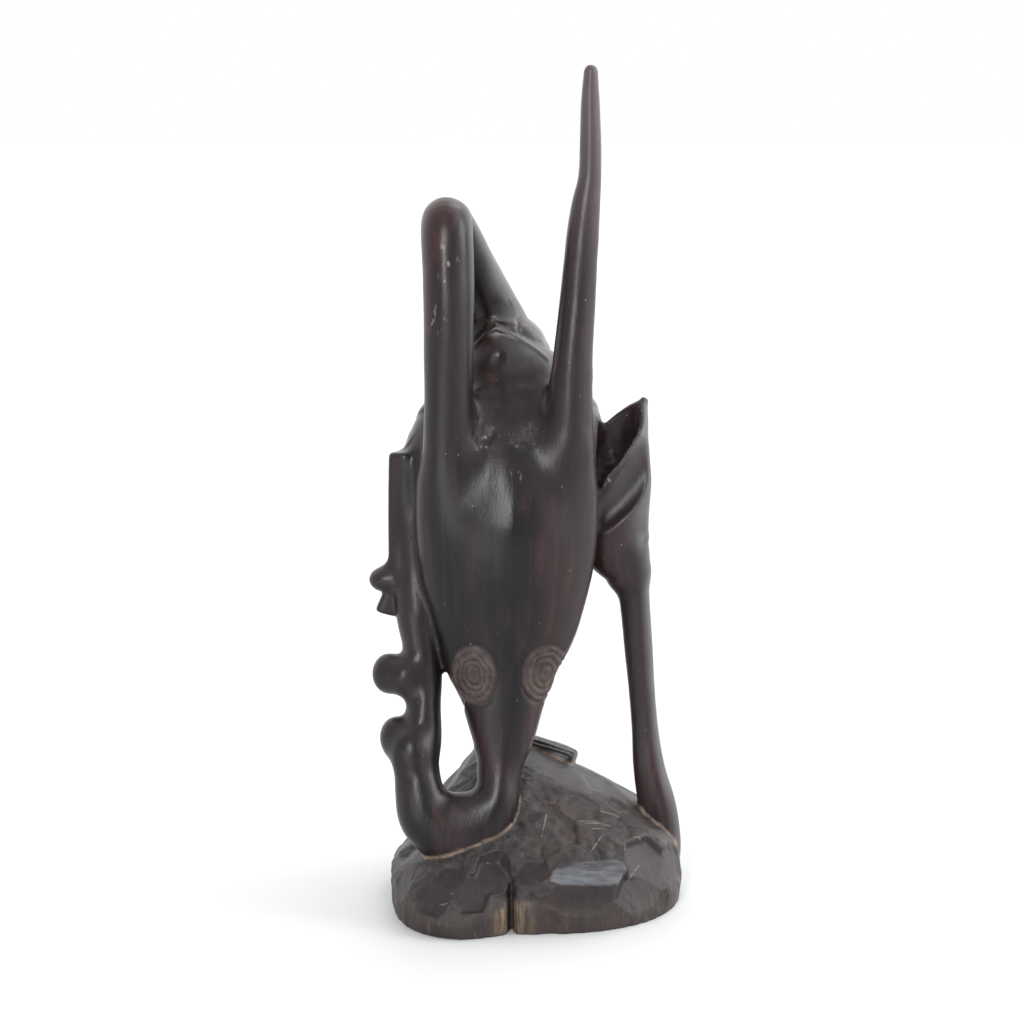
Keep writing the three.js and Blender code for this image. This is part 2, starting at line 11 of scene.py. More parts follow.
import bpy
import numpy as np
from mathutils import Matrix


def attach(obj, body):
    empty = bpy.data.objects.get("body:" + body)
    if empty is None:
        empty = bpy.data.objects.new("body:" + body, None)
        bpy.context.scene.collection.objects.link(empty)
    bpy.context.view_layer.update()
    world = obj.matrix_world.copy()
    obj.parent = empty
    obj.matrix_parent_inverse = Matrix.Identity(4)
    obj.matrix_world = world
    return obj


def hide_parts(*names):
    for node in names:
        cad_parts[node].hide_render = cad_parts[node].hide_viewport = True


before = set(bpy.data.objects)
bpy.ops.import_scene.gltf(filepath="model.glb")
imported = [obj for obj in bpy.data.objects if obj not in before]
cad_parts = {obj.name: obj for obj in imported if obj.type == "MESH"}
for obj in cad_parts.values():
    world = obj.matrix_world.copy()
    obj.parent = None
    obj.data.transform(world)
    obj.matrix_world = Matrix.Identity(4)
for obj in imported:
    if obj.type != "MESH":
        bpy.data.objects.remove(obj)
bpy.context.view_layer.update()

MM = 0.001
NODE = "spirit_carving"

# How fine the surface is, and how many triangles it may have.
VOXEL = 1.05
MOST_TRIANGLES = 190000

# The surface is fitted to the limbs FIT_ROUNDS times and then evened out EVEN_ROUNDS times,
# with a fit after each of the first REFITTED. One fit moves a point by MOST_STEP at most.
MOST_STEP = 1.2
FIT_ROUNDS = 2
EVEN_ROUNDS = 4
REFITTED = 2

# The crown's front and its point are evened out further.
CROWN_EVEN_ROUNDS = 32
CROWN_POINT = (-20, 9, 312)
CROWN_POINT_REACH = (15, 10)

# How finely a limb's spline is followed between two of its stations.
RINGS = 9

# How softly two forms flow together.
FLOWING = 13.0
SOFT = 8.0
FIRM = 3.5
CRISP = 1.5

# The base. BASE_POWER is how square its outline is. Its wall is widest at BULGE_HEIGHT and
# draws in over BULGE_SPAN, and its top falls from the crest to the rim over a run each way.
BASE_HALF_WIDTH = 80.0
BASE_HALF_DEPTH = 75.0
BASE_POWER = 2.25
RIM_HEIGHT = 28.0
CREST_HEIGHT = 82.0
CREST = (-22.0, 12.0)
RUN_RIGHT = 107.0
RUN_LEFT = 43.0
RUN_FRONT = 86.0
RUN_BACK = 66.0
BULGE_HEIGHT = 12.0
BULGE_SPAN = 100.0

# How flat the top starts from the crest: more is flatter.
FALL = 1.6
FALL_LEFT = 2.0

# The share of the height above the sloping top that is the distance from it.
UPRIGHT_SHARE = 0.75

# Where the trunk's blend with the leaf tightens on the way up.
NECK_HEIGHT = 130.0
NECK_SPAN = 16.0

# The base's flat cuts. In front their ends are steep and their outlines nearly straight. Over
# TURN_SPAN, up to the middle of the base, the ends turn gentle and the outlines uneven.
CUT_END = 1.2
CUT_END_BEHIND = 0.4
CUT_WANDER = 0.5
CUT_WANDER_BEHIND = 3.0
WANDER_SIZE = 9
TURN_SPAN = 25.0

# Large cuts in a ring round the sides and the back. BEVEL_RISE is the sine of their angle
# above the floor, and BEVEL_BITE how deep each goes.
BEVEL_CUTS = 11
BEVEL_FIRST = math.radians(-18)
BEVEL_STEP = math.radians(21)
BEVEL_SWAY = 0.2
BEVEL_RISE = 0.29
BEVEL_LIFT = 0.04
BEVEL_BITE = 2.8
BEVEL_SIZE = (15.0, 11.0)

# Small cuts in a spiral over the rest, where they are ADZE_APART from every large one.
ADZE_CUTS = 60
ADZE_LOWEST = 0.02
ADZE_REACH = 0.93
ADZE_BITE = 1.2
ADZE_SIZE = (9.0, 7.0)
ADZE_VARIES = (4.0, 3.0)
ADZE_APART = 12.0
GOLDEN_ANGLE = math.pi * (3 - math.sqrt(5))

# Further than any distance in the part.
FAR = 1e3

DEPTH = np.array([0.0, 1.0, 0.0])
ACROSS = np.array([1.0, 0.0, 0.0])


# Fields: each takes an array of points and gives their distances, negative inside.


def smooth_union(a, b, blend):
    share = np.maximum(blend - np.abs(a - b), 0) / blend
    return np.minimum(a, b) - share * share * blend / 4


def smooth_cut(a, b, blend):
    return -smooth_union(-a, b, blend)


def superellipse(offsets, radii, power):
    """Distance to a superellipsoid about the origin, to first order."""
    share = np.abs(offsets) / radii
    total = np.maximum((share**power).sum(1), 1e-9)
    slope = ((share ** (power - 1) / radii) ** 2).sum(1)
    radius = total ** (1 / power)
    gradient = np.sqrt(slope) * radius ** (1 - power) + 1e-9
    return np.maximum((radius - 1) / gradient, -radii.min(1))


def ellipsoid(at, radii):
    centre = np.array(at, float)
    size = np.array([radii], float)
    return lambda p: superellipse(p - centre, np.broadcast_to(size, p.shape), 2)


def spline(points, steps):
    """Places and directions along a uniform Catmull-Rom spline through the points."""
    p = np.array(points, float)
    p = np.vstack([2 * p[0] - p[1], p, 2 * p[-1] - p[-2]])
    t = np.linspace(0, len(points) - 1, steps + 1)
    i = np.minimum(t.astype(int), len(points) - 2)
    t = (t - i)[:, None]
    before, a, b, after = p[i], p[i + 1], p[i + 2], p[i + 3]
    leave, arrive = (b - before) / 2, (after - a) / 2
    cube = 2 * a - 2 * b + leave + arrive
    square = -3 * a + 3 * b - 2 * leave - arrive
    return cube * t**3 + square * t**2 + leave * t + a, 3 * cube * t**2 + 2 * square * t + leave


def unit(v):
    return v / np.linalg.norm(v, axis=-1, keepdims=True)


class Loft:
    """A limb. Each station is (x, y, z, half width, depth in front, depth behind), and the
    section is a superellipse: power 2 is round, more is squarer. facing is "behind"."""

    def __init__(self, stations, power=2.0, roll=0.0, facing=DEPTH, cap=None):
        steps = (len(stations) - 1) * RINGS
        self.at, along = spline([s[:3] for s in stations], steps)
        self.girth = spline([s[3:] for s in stations], steps)[0]
        self.along = unit(along)
        behind = unit(facing - self.along * (self.along @ facing)[:, None])
        side = np.cross(behind, self.along)
        turn = np.cross(self.along, behind)
        self.behind = behind * math.cos(roll) + turn * math.sin(roll)
        turn = np.cross(self.along, side)
        self.side = side * math.cos(roll) + turn * math.sin(roll)
        self.power = power
        self.cap = cap
        reach = 1.2 * max(max(s[3:]) for s in stations) + FLOWING
        self.low = self.at.min(0) - reach
        self.high = self.at.max(0) + reach

    def __call__(self, p):
        beyond = np.maximum(np.maximum(self.low - p, p - self.high), 0)
        out = np.linalg.norm(beyond, axis=1) + FLOWING
        near = np.flatnonzero(out == FLOWING)
        for part in np.array_split(near, len(near) // 20000 + 1):
            if len(part):
                out[part] = self.distance(p[part])
        return out

    def distance(self, p):
        start = self.at[:-1]
        span = np.diff(self.at, axis=0)
        length = (span**2).sum(1)
        dot = p @ span.T - (start * span).sum(1)
        t = np.clip(dot / length, 0, 1)
        square = (p**2).sum(1)[:, None] - 2 * p @ start.T + (start**2).sum(1)
        i = np.argmin(square - 2 * t * dot + t * t * length, axis=1)
        t = t[np.arange(len(p)), i]
        share = t[:, None]

        def between(values):
            return values[i] * (1 - share) + values[i + 1] * share

        offset = p - between(self.at)
        size = between(self.girth)
        u = (offset * between(self.side)).sum(1)
        v = (offset * between(self.behind)).sum(1)
        at_end = ((i == 0) & (t == 0)) | ((i == len(span) - 1) & (t == 1))
        w = np.where(at_end, (offset * between(self.along)).sum(1), 0)
        depth = np.where(v < 0, size[:, 1], size[:, 2])
        end = np.minimum(size[:, 0], depth) if self.cap is None else np.full(len(p), self.cap)
        radii = np.stack([size[:, 0], depth, end], 1)
        return superellipse(np.stack([u, v, w], 1), radii, self.power)


LEAF = Loft(
    [
        (-18, -28, 92, 10, 8, 8),
        (-18, -26, 104, 17, 12, 12),
        (-18, -24, 122, 26, 16, 17),
        (-18, -22, 140, 33.5, 20, 22),
        (-15.2, -20, 164, 40, 26.5, 32),
        (-14.2, -19, 190, 45.3, 31.5, 44),
        (-14.8, -18, 213, 47.2, 31.5, 50),
        (-16, -17, 232, 46, 26, 52),
        (-16, -14, 247, 41, 21, 48),
        (-16.5, -9, 261, 34, 16.5, 38),
        (-17, -2.5, 273, 27, 12, 30),
    ],
    power=1.8,
    cap=3,
)
CROWN = Loft(
    [
        (-17, 10, 150, 18, 18, 16),
        (-17, 13, 170, 28, 24, 27),
        (-16, 14, 190, 39, 30, 36),
        (-16, 15, 215, 48, 32, 42),
        (-16.5, 15, 235, 54, 35, 43),
        (-15, 15, 252, 53, 33, 42),
        (-15, 15, 268, 47, 29, 39),
        (-16, 15, 284, 35, 22.5, 33),
        (-19, 15, 298, 21, 14, 25),
        (-22, 15, 307, 13, 6, 12),
    ]
)
CROWN_GROOVE = Loft(
    [
        (-20.5, -0.5, 298, 2, 2.2, 2.4),
        (-20, -10, 287, 2, 2.6, 2.6),
        (-19.6, -20, 275, 1.4, 1.6, 1.6),
    ]
)
POCKETS = [
    ellipsoid((-27.5, -32.5, 263), (4.5, 5, 8)),
    ellipsoid((-6, -33, 262.5), (7, 5, 7)),
]
ARM = Loft(
    [
        (-49, -13, 160, 8, 7, 7),
        (-47.5, -19, 192, 12, 12.5, 12),
        (-47, -24, 225, 13, 13.5, 13),
        (-46.5, -27, 262, 13.5, 13, 13.3),
        (-46.5, -25, 305, 13.5, 12.8, 13.2),
        (-46.5, -20, 340, 14, 13.5, 13.8),
        (-47.5, -12, 367, 13.5, 13.5, 14),
        (-45, 2, 368, 11.8, 13.5, 12),
        (-34.5, 13, 349, 11, 15, 11),
        (-25, 21, 330, 11.3, 16, 11),
        (-17, 26, 315, 10.5, 19, 11),
        (-11, 28, 305, 8, 20, 10),
    ],
    facing=ACROSS,
)
HAND = Loft(
    [
        (-16, 26, 311, 5, 10, 9),
        (-8, 26, 308.5, 6.5, 14, 12),
        (-2, 25, 304, 6, 13, 11),
        (2.5, 24, 299, 4.5, 10, 9),
    ],
    power=2.4,
)
HORN = Loft(
    [
        (13, -17, 205, 10, 10, 10),
        (16, -23, 244, 13.5, 12, 12),
        (17.5, -22, 267, 12.3, 11.5, 12),
        (19, -18, 298, 10.7, 10.5, 10.5),
        (21.5, -13, 329, 9.5, 9, 9),
        (24, -9, 361, 8.8, 8.3, 8.3),
        (25.8, -7, 379, 7.7, 7.3, 7.3),
        (27.8, -5, 393, 6.3, 6.4, 6.4),
        (28.2, -3, 410, 5.8, 5.8, 5.8),
        (28, -1, 431, 5, 5, 5),
        (28.2, 0, 448, 3.8, 4, 4),
    ]
)
TRUNK = Loft(
    [
        (-18, -23, 126, 19, 14, 14),
        (-17.6, -28, 101, 18, 14, 14),
        (-19.5, -33, 80, 12.5, 12.5, 13),
        (-22, -39, 62, 12.5, 12.5, 13),
        (-31, -43, 49, 16, 13, 14),
        (-45, -44, 46, 17, 14, 14),
        (-58, -43, 54, 15, 14, 14),
        (-62.5, -40, 68, 13, 13, 13),
        (-63.5, -35, 82, 11.5, 12, 12),
        (-61, -30, 95, 10.2, 11, 11),
        (-60.5, -25, 112, 9.3, 10.5, 11),
        (-59.5, -20, 126, 9, 10, 11),
        (-61.5, -15, 143, 10.5, 11, 12),
        (-63.5, -11, 162, 12, 12, 12),
        (-65, -7, 185, 10, 10, 11),
        (-65, -3, 212, 9.5, 8, 10),
        (-64, 1, 238, 9, 7, 10),
    ]
)
BROW = Loft(
    [
        (-72.5, -3, 185, 6.5, 6, 8),
        (-72.5, -2, 215, 6.5, 6, 8),
        (-72.5, 0, 243, 6, 6, 8),
    ],
    power=4,
    roll=-0.35,
    cap=3,
)
NOSE = ellipsoid((-81.5, -5, 177), (8.4, 8, 6.6))
NOSTRIL = Loft(
    [(-77, -6, 173, 4, 4, 5), (-80.5, -7, 160, 6, 4.5, 5)],
    power=4,
    cap=1.5,
)
# Fills the inside of the trunk's tight bend.
BEND = ellipsoid((-40, -41, 60), (13, 9, 8))
LIPS = [
    ellipsoid((-70, -24.5, 127), (7.6, 8, 9.5)),
    ellipsoid((-79.5, -18, 128), (8.8, 9, 10.8)),
    ellipsoid((-67.5, -38, 90), (9.7, 9, 11.3)),
    ellipsoid((-76, -27, 95), (8, 9, 11)),
]
WING = Loft(
    [
        (49, 9, 179, 11.5, 9, 10),
        (43, 10, 192, 18, 12, 13),
        (42, 12, 210, 19.5, 14, 15),
        (43, 14, 232, 20, 15, 16),
        (48, 17, 250, 14.5, 14, 14),
        (54, 20, 262, 8, 10, 8),
        (58.5, 21, 270, 2.5, 3, 3),
    ],
    power=2.4,
)
LEG = Loft(
    [
        (49.5, 8, 188, 10.8, 8, 9),
        (53.2, 8, 166, 7.9, 7, 8),
        (56.4, 7, 130, 6.9, 6, 8),
        (59.2, 6, 97, 6.7, 6, 8),
        (62, 4, 70, 8, 7, 9),
        (66.5, 2, 48, 9.5, 8, 11),
        (70, 0, 28, 8.5, 8, 12),
        (70, 0, 15, 8, 8, 12),
    ],
    power=3,
    roll=0.4,
)
EAR_HOLLOW = Loft(
    [
        (54.5, 13, 276, 4.5, 4, 4),
        (44.5, 11, 258, 10.5, 8.5, 9.5),
        (37, 9, 241, 10, 9, 10),
        (31, 6, 230, 6.5, 6, 6),
    ],
    cap=6,
)
WING_GROOVE = Loft(
    [
        (71, 2, 257, 10.5, 9, 9),
        (53, -3.5, 230, 11.5, 10, 10),
        (34, -6.5, 210, 9.5, 9, 9),
    ]
)
BACK_LEG = Loft(
    [
        (-17, 13, 165, 16, 14, 14),
        (-17, 19, 138, 11, 11, 11),
        (-17, 22, 112, 9, 9, 9),
        (-17, 22, 90, 9, 9, 9),
        (-17, 21, 74, 10, 10, 10),
    ]
)
BACK_FOOT = Loft(
    [
        (-19, 21, 78, 7, 9, 9),
        (-2, 19, 77.5, 5.5, 8, 8),
        (13, 16, 74, 4.5, 8.5, 8.5),
        (20, 14, 72, 4.2, 8, 8),
    ],
    power=3,
    cap=2,
)
FRONT_LOBE = ellipsoid((-39, -33, 8), (38, 51, 30))
CLEFT = ellipsoid((-13.5, -82, 8), (2.5, 18, 42))


def figure(p):
    d = smooth_union(LEAF(p), ARM(p), FLOWING)
    d = smooth_union(d, HORN(p), FLOWING)
    # The trunk flows out of the leaf's foot, and its neck only lies against the leaf's rim.
    flow = np.clip((NECK_HEIGHT - p[:, 2]) / NECK_SPAN, 0, 1)
    d = smooth_union(d, TRUNK(p), FIRM + (SOFT - FIRM) * flow)
    d = smooth_union(d, BEND(p), SOFT)
    d = smooth_union(d, CROWN(p), FLOWING)
    d = smooth_cut(d, CROWN_GROOVE(p), FIRM)
    for pocket in POCKETS:
        d = smooth_cut(d, pocket(p), FIRM)
    d = smooth_union(d, HAND(p), CRISP)
    d = smooth_union(d, BROW(p), FIRM)
    d = smooth_union(d, NOSE(p), SOFT)
    d = smooth_union(d, NOSTRIL(p), CRISP)
    for lip in LIPS:
        d = smooth_union(d, lip(p), SOFT)
    side = smooth_union(WING(p), LEG(p), SOFT)
    side = smooth_cut(side, WING_GROOVE(p), CRISP)
    d = smooth_union(d, side, FIRM)
    d = smooth_cut(d, EAR_HOLLOW(p), FIRM)
    d = smooth_union(d, BACK_LEG(p), FLOWING)
    return smooth_union(d, BACK_FOOT(p), FIRM)


def mound(p):
    """The base before it is cut: a rounded plinth whose top swells into a mound."""
    x, y, z = p.T
    left = x < CREST[0]
    down = np.where(left, (CREST[0] - x) / RUN_LEFT, (x - CREST[0]) / RUN_RIGHT)
    slope = np.where(left, FALL_LEFT, FALL)
    fall = np.where(y < CREST[1], (CREST[1] - y) / RUN_FRONT, (y - CREST[1]) / RUN_BACK)
    along = np.maximum(1 - np.maximum(down, 0) ** slope, 0)
    through = np.maximum(1 - np.maximum(fall, 0) ** FALL, 0)
    top = RIM_HEIGHT + (CREST_HEIGHT - RIM_HEIGHT) * along * through
    bulge = 1 - ((z - BULGE_HEIGHT) / BULGE_SPAN) ** 2
    out = np.abs(x / BASE_HALF_WIDTH) ** BASE_POWER + np.abs(y / BASE_HALF_DEPTH) ** BASE_POWER
    out = out ** (1 / BASE_POWER)
    mass = smooth_cut((out - bulge) * BASE_HALF_DEPTH, UPRIGHT_SHARE * (top - z), SOFT)
    return smooth_union(mass, FRONT_LOBE(p), SOFT)


def gradient(field, p, e=0.5):
    columns = []
    for axis in np.eye(3) * e:
        columns.append((field(p + axis) - field(p - axis)) / (2 * e))
    return np.stack(columns, 1)


# The flat cuts along the front of the base, each as a point on it, the way it faces, and
# half its width and height.
FRONT_CUTS = [
    ((-71.0, -45.2, 22.6), (-0.85, -0.32, 0.42), (14, 17)),
    ((-53.9, -69.9, 22.5), (-0.42, -0.78, 0.46), (12, 12)),
    ((-45.8, -67.8, 27.8), (-0.12, -0.56, 0.82), (9, 8)),
    ((-35.2, -73.4, 22.3), (0.1, -0.8, 0.6), (10, 10)),
    ((-23.5, -66.4, 28.4), (0.12, -0.68, 0.72), (9, 9)),
    ((-2.0, -67.3, 30.1), (-0.12, -0.62, 0.77), (9, 9)),
    ((25.5, -67.1, 26.7), (0.17, -0.55, 0.82), (24, 6)),
    ((24.3, -70, 19.5), (0.2, -0.95, 0.2), (21, 9)),
    ((54.7, -53.4, 15.3), (0.55, -0.75, 0.36), (15, 9)),
    ((60.0, -42.1, 25.0), (0.62, -0.52, 0.58), (17, 15)),
    ((73.0, -25.3, 19.7), (0.88, -0.36, 0.3), (12, 12)),
]

# The one of them that is scuffed pale.
SCUFFED_CUT = 6

# How often the search for the base's surface halves its span.
HALVINGS = 20


def surface_cuts(rise, turn, bite, sizes):
    """Flat cuts under the base's surface where rays from the origin leave it."""
    flat = np.sqrt(1 - rise * rise)
    out = np.stack([flat * np.cos(turn), flat * np.sin(turn), rise], 1)
    near, far = np.zeros(len(out)), np.full(len(out), 2 * BASE_HALF_WIDTH)
    for _ in range(HALVINGS):
        middle = (near + far) / 2
        inside = mound(out * middle[:, None]) < 0
        near, far = np.where(inside, middle, near), np.where(inside, far, middle)
    at = out * near[:, None]
    facing = unit(gradient(mound, at))
    return [(a - bite * n, n, size) for a, n, size in zip(at, facing, sizes)]


def clear_of(at, cuts, apart):
    """Whether a point is further than apart from every one of the cuts."""
    return all(np.linalg.norm(np.subtract(at, other[0])) > apart for other in cuts)


def base_cuts():
    """The cuts along the front, a ring round the rest, and small ones in a spiral."""
    ring = np.arange(BEVEL_CUTS)
    turn = BEVEL_FIRST + (ring + BEVEL_SWAY * np.sin(2.4 * ring)) * BEVEL_STEP
    rise = BEVEL_RISE + BEVEL_LIFT * np.sin(3.7 * ring)
    sizes = [BEVEL_SIZE] * BEVEL_CUTS
    cuts = FRONT_CUTS + surface_cuts(rise, turn, BEVEL_BITE, sizes)
    i = np.arange(ADZE_CUTS)
    rise = ADZE_LOWEST + ADZE_REACH * (i + 0.5) / ADZE_CUTS
    wider, higher = ADZE_VARIES
    width = ADZE_SIZE[0] + wider * np.sin(2.1 * i)
    height = ADZE_SIZE[1] + higher * np.sin(3.3 * i)
    spread = surface_cuts(rise, i * GOLDEN_ANGLE, ADZE_BITE, zip(width, height))
    return cuts + [cut for cut in spread if clear_of(cut[0], cuts, ADZE_APART)]


CUTS = base_cuts()


def hashed(cell, seed):
    """A fixed whole number for each cell of a lattice, another one for each seed."""
    key = cell[:, 0] * 73856093 ^ cell[:, 1] * 19349663 ^ cell[:, 2] * 83492791 ^ seed * 2654435
    return (key ^ (key >> 13)) * 1274126177 & 0x7FFFFFFF


def noise(p, size, seed=0):
    """Smooth noise from -1 to 1 with features about size millimetres across."""
    q = p / size + 17.3 * seed
    cell = np.floor(q).astype(np.int64)
    f = q - cell
    f = f * f * (3 - 2 * f)
    total = np.zeros(len(p))
    for corner in range(8):
        step = np.array([corner & 1, corner >> 1 & 1, corner >> 2])
        key = hashed(cell + step, seed)
        value = (key ^ (key >> 16)) % 65536 / 32768 - 1
        total += value * np.prod(np.where(step, f, 1 - f), axis=1)
    return total


def flat_cuts(p, cuts):
    """How far each point is outside the deepest of the cuts."""
    behind = np.clip((p[:, 1] + TURN_SPAN) / TURN_SPAN, 0, 1)
    end = CUT_END + (CUT_END_BEHIND - CUT_END) * behind
    wander = np.stack([noise(p, WANDER_SIZE, seed) for seed in (24, 25, 26)], 1)
    wander *= (CUT_WANDER + (CUT_WANDER_BEHIND - CUT_WANDER) * behind)[:, None]
    deepest = np.full(len(p), -FAR)
    for at, facing, (half_width, half_height) in cuts:
        facing = unit(np.array(facing, float))
        across = unit(np.cross((0, 0, 1), facing))
        offset = p - at
        aside = offset + wander
        u = aside @ across / half_width
        v = aside @ np.cross(facing, across) / half_height
        beyond = np.maximum(np.maximum(np.abs(v), np.abs(u) + np.abs(v) / 2) - 1, 0)
        beyond *= min(half_width, half_height)
        deepest = np.maximum(deepest, offset @ facing - end * beyond)
    return deepest


def base(p):
    whole = mound(p)
    near = np.flatnonzero(np.abs(whole) < FLOWING)
    cut = whole.copy()
    cut[near] = np.maximum(whole[near], flat_cuts(p[near], CUTS))
    return smooth_cut(cut, CLEFT(p), FIRM)


def carving(p):
    return smooth_union(figure(p), base(p), CRISP)


# Masks and relief.


def ramp(value, start, end):
    """Goes smoothly from 0 at start to 1 at end, which may be the lower of the two."""
    t = np.clip((value - start) / (end - start), 0, 1)
    return t * t * (3 - 2 * t)


# The masks that the wood's material reads, from 0 to 1 at every point.
MASKS = "rough eye ring wall facet scuff crest seam chipped split worn handled".split()

# The unevenness of the whole surface: broad, small, and drawn out upright.
WAVE_HEIGHT = 0.2
RIPPLE_HEIGHT = 0.06
STREAK_HEIGHT = 0.22

# What lies further forward than this on the leaf is its front.
LEAF_FRONT = -24

# The keel down the leaf's front, and the heights between which it fades in and out.
KEEL_X = -12.5
KEEL_HEIGHT = 0.5
KEEL_SPREAD = 5
KEEL_FOOT = (120, 150)
KEEL_HEAD = (246, 225)

# The eyes on the leaf's front: centre x and z, half width, half height. A groove runs round
# each, and the rings inside it sway.
EYES = [(-33.7, 131.5, 12.3, 16.5), (4.8, 132.0, 12.5, 15.8)]
EYE_EDGE = (1.06, 0.94)
EYE_RINGS = 4.6
RING_SWAY = 3.4
BOSS_HEIGHT = 0.2
RING_HEIGHT = 0.32
EYE_GROOVE_DEPTH = 0.5
EYE_GROOVE_WIDTH = 0.07

# Chips in the pockets beside the horn and deep in the ear.
POCKET_DEPTH = 0.5
EAR_DEPTH = 0.8
EAR_DEEP = (252, 238)

# The crown's edge under the hand, and the hand's own edge over it, as points on the surface.
CROWN_EDGE = [
    (-32.9, 11.3, 302.2),
    (-29.6, 10.0, 306.1),
    (-21.6, 9.5, 312.1),
    (-11.9, 8.0, 307.5),
    (0.9, 6.3, 300.2),
    (6.3, 4.1, 295.1),
]
HAND_EDGE = [(-24.8, 11.5, 315.1), (-14.6, 11.0, 315.2), (-4.4, 13.7, 311.0), (4.2, 16.0, 302.1)]
CROWN_EDGE_HEIGHT = 0.7
HAND_EDGE_HEIGHT = 0.5
GAP_DEPTH = 1.0
GAP_OFFSET = (0, 0, 2.8)

# The furrow round the hand, its seam with the crown, and the lines between its fingers,
# which are rings about a point given by x and z.
FURROW_DEPTH = 1.3
SEAM_DEPTH = 0.5
SEAM_LOW = (296, 300)
SEAM_BACK = (22, 14)
FINGERS_ABOUT = (-16, 290)
FINGER_WIDTH = 5.2
FINGER_HEIGHT = 0.35

# The base's wall ends at WALL_TOP, and its crest starts at CREST_FRONT.
WALL_TOP = (19, 14)
CREST_FRONT = (-13, -10)
CREST_SLANT = 0.22
SPLINTER_HEIGHT = 0.35
BOWL_DEPTH = 0.5
CHOP_HEIGHT = 0.62
CHIP_HEIGHT = 0.25
CHIP_LEVEL = 0.55

# Lines between the toes of the back foot.
TOE_LINES = (-4.5, 0.5, 5.0)
TOES_Y = 17
TOES_SLANT = 0.16
TOE_DEPTH = 0.9
TOE_WIDTH = 0.8

# Where fresh wood shows beside the cleft.
CLEFT_X = -13
CLEFT_SIDE = (15, 3)
CLEFT_FRONT = (-50, -60)

# Where pale dust sits on the limb and the body, and how widely.
DUSTY = [
    ((-51, -34, 352), 14),
    ((-45, -38, 345), 12),
    ((-53, -37, 322), 9),
    ((-10, -44, 243), 8),
    ((36, 0, 236), 12),
    ((-70, -25, 96), 9),
]

# The horn is worn between these heights. A painted sheen, grey colour standing in for reflected
# light, covers the surfaces that face the direction below.
HORN_WORN = (320, 445)
SHEEN_FACING = (0.8, -0.2, 0.5)


def from_line(p, points):
    """How far each point is from a line through the given points."""
    nearest = np.full(len(p), FAR)
    for start, end in zip(points, points[1:]):
        along = np.subtract(end, start)
        t = np.clip((p - start) @ along / (along @ along), 0, 1)
        off = p - start - t[:, None] * along
        nearest = np.minimum(nearest, np.linalg.norm(off, axis=1))
    return nearest


def eye_radius(p, eye):
    """How far each point is from the eye's middle, with 1 at its edge."""
    x, z, half_width, half_height = eye
    r = np.hypot((p[:, 0] - x) / half_width, (p[:, 2] - z) / half_height)
    return np.where(p[:, 1] < LEAF_FRONT, r, FAR)


def scoops(p, size, seed):
    """Shallow bowls that meet in ridges: 0 deep in a bowl and 1 on a ridge."""
    q = p / size + 5.1 * seed
    cell = np.floor(q).astype(np.int64)
    first, second = np.full(len(p), FAR), np.full(len(p), FAR)
    for n in range(27):
        near = cell + np.array([n % 3, n // 3 % 3, n // 9]) - 1
        key = hashed(near, seed)
        place = np.stack([key % 251, key // 251 % 251, key // 63001 % 251], 1) / 251
        away = np.linalg.norm(near + place - q, axis=1)
        second = np.minimum(second, np.maximum(away, first))
        first = np.minimum(first, away)
    return np.clip(first / (second + 1e-9), 0, 1) ** 2


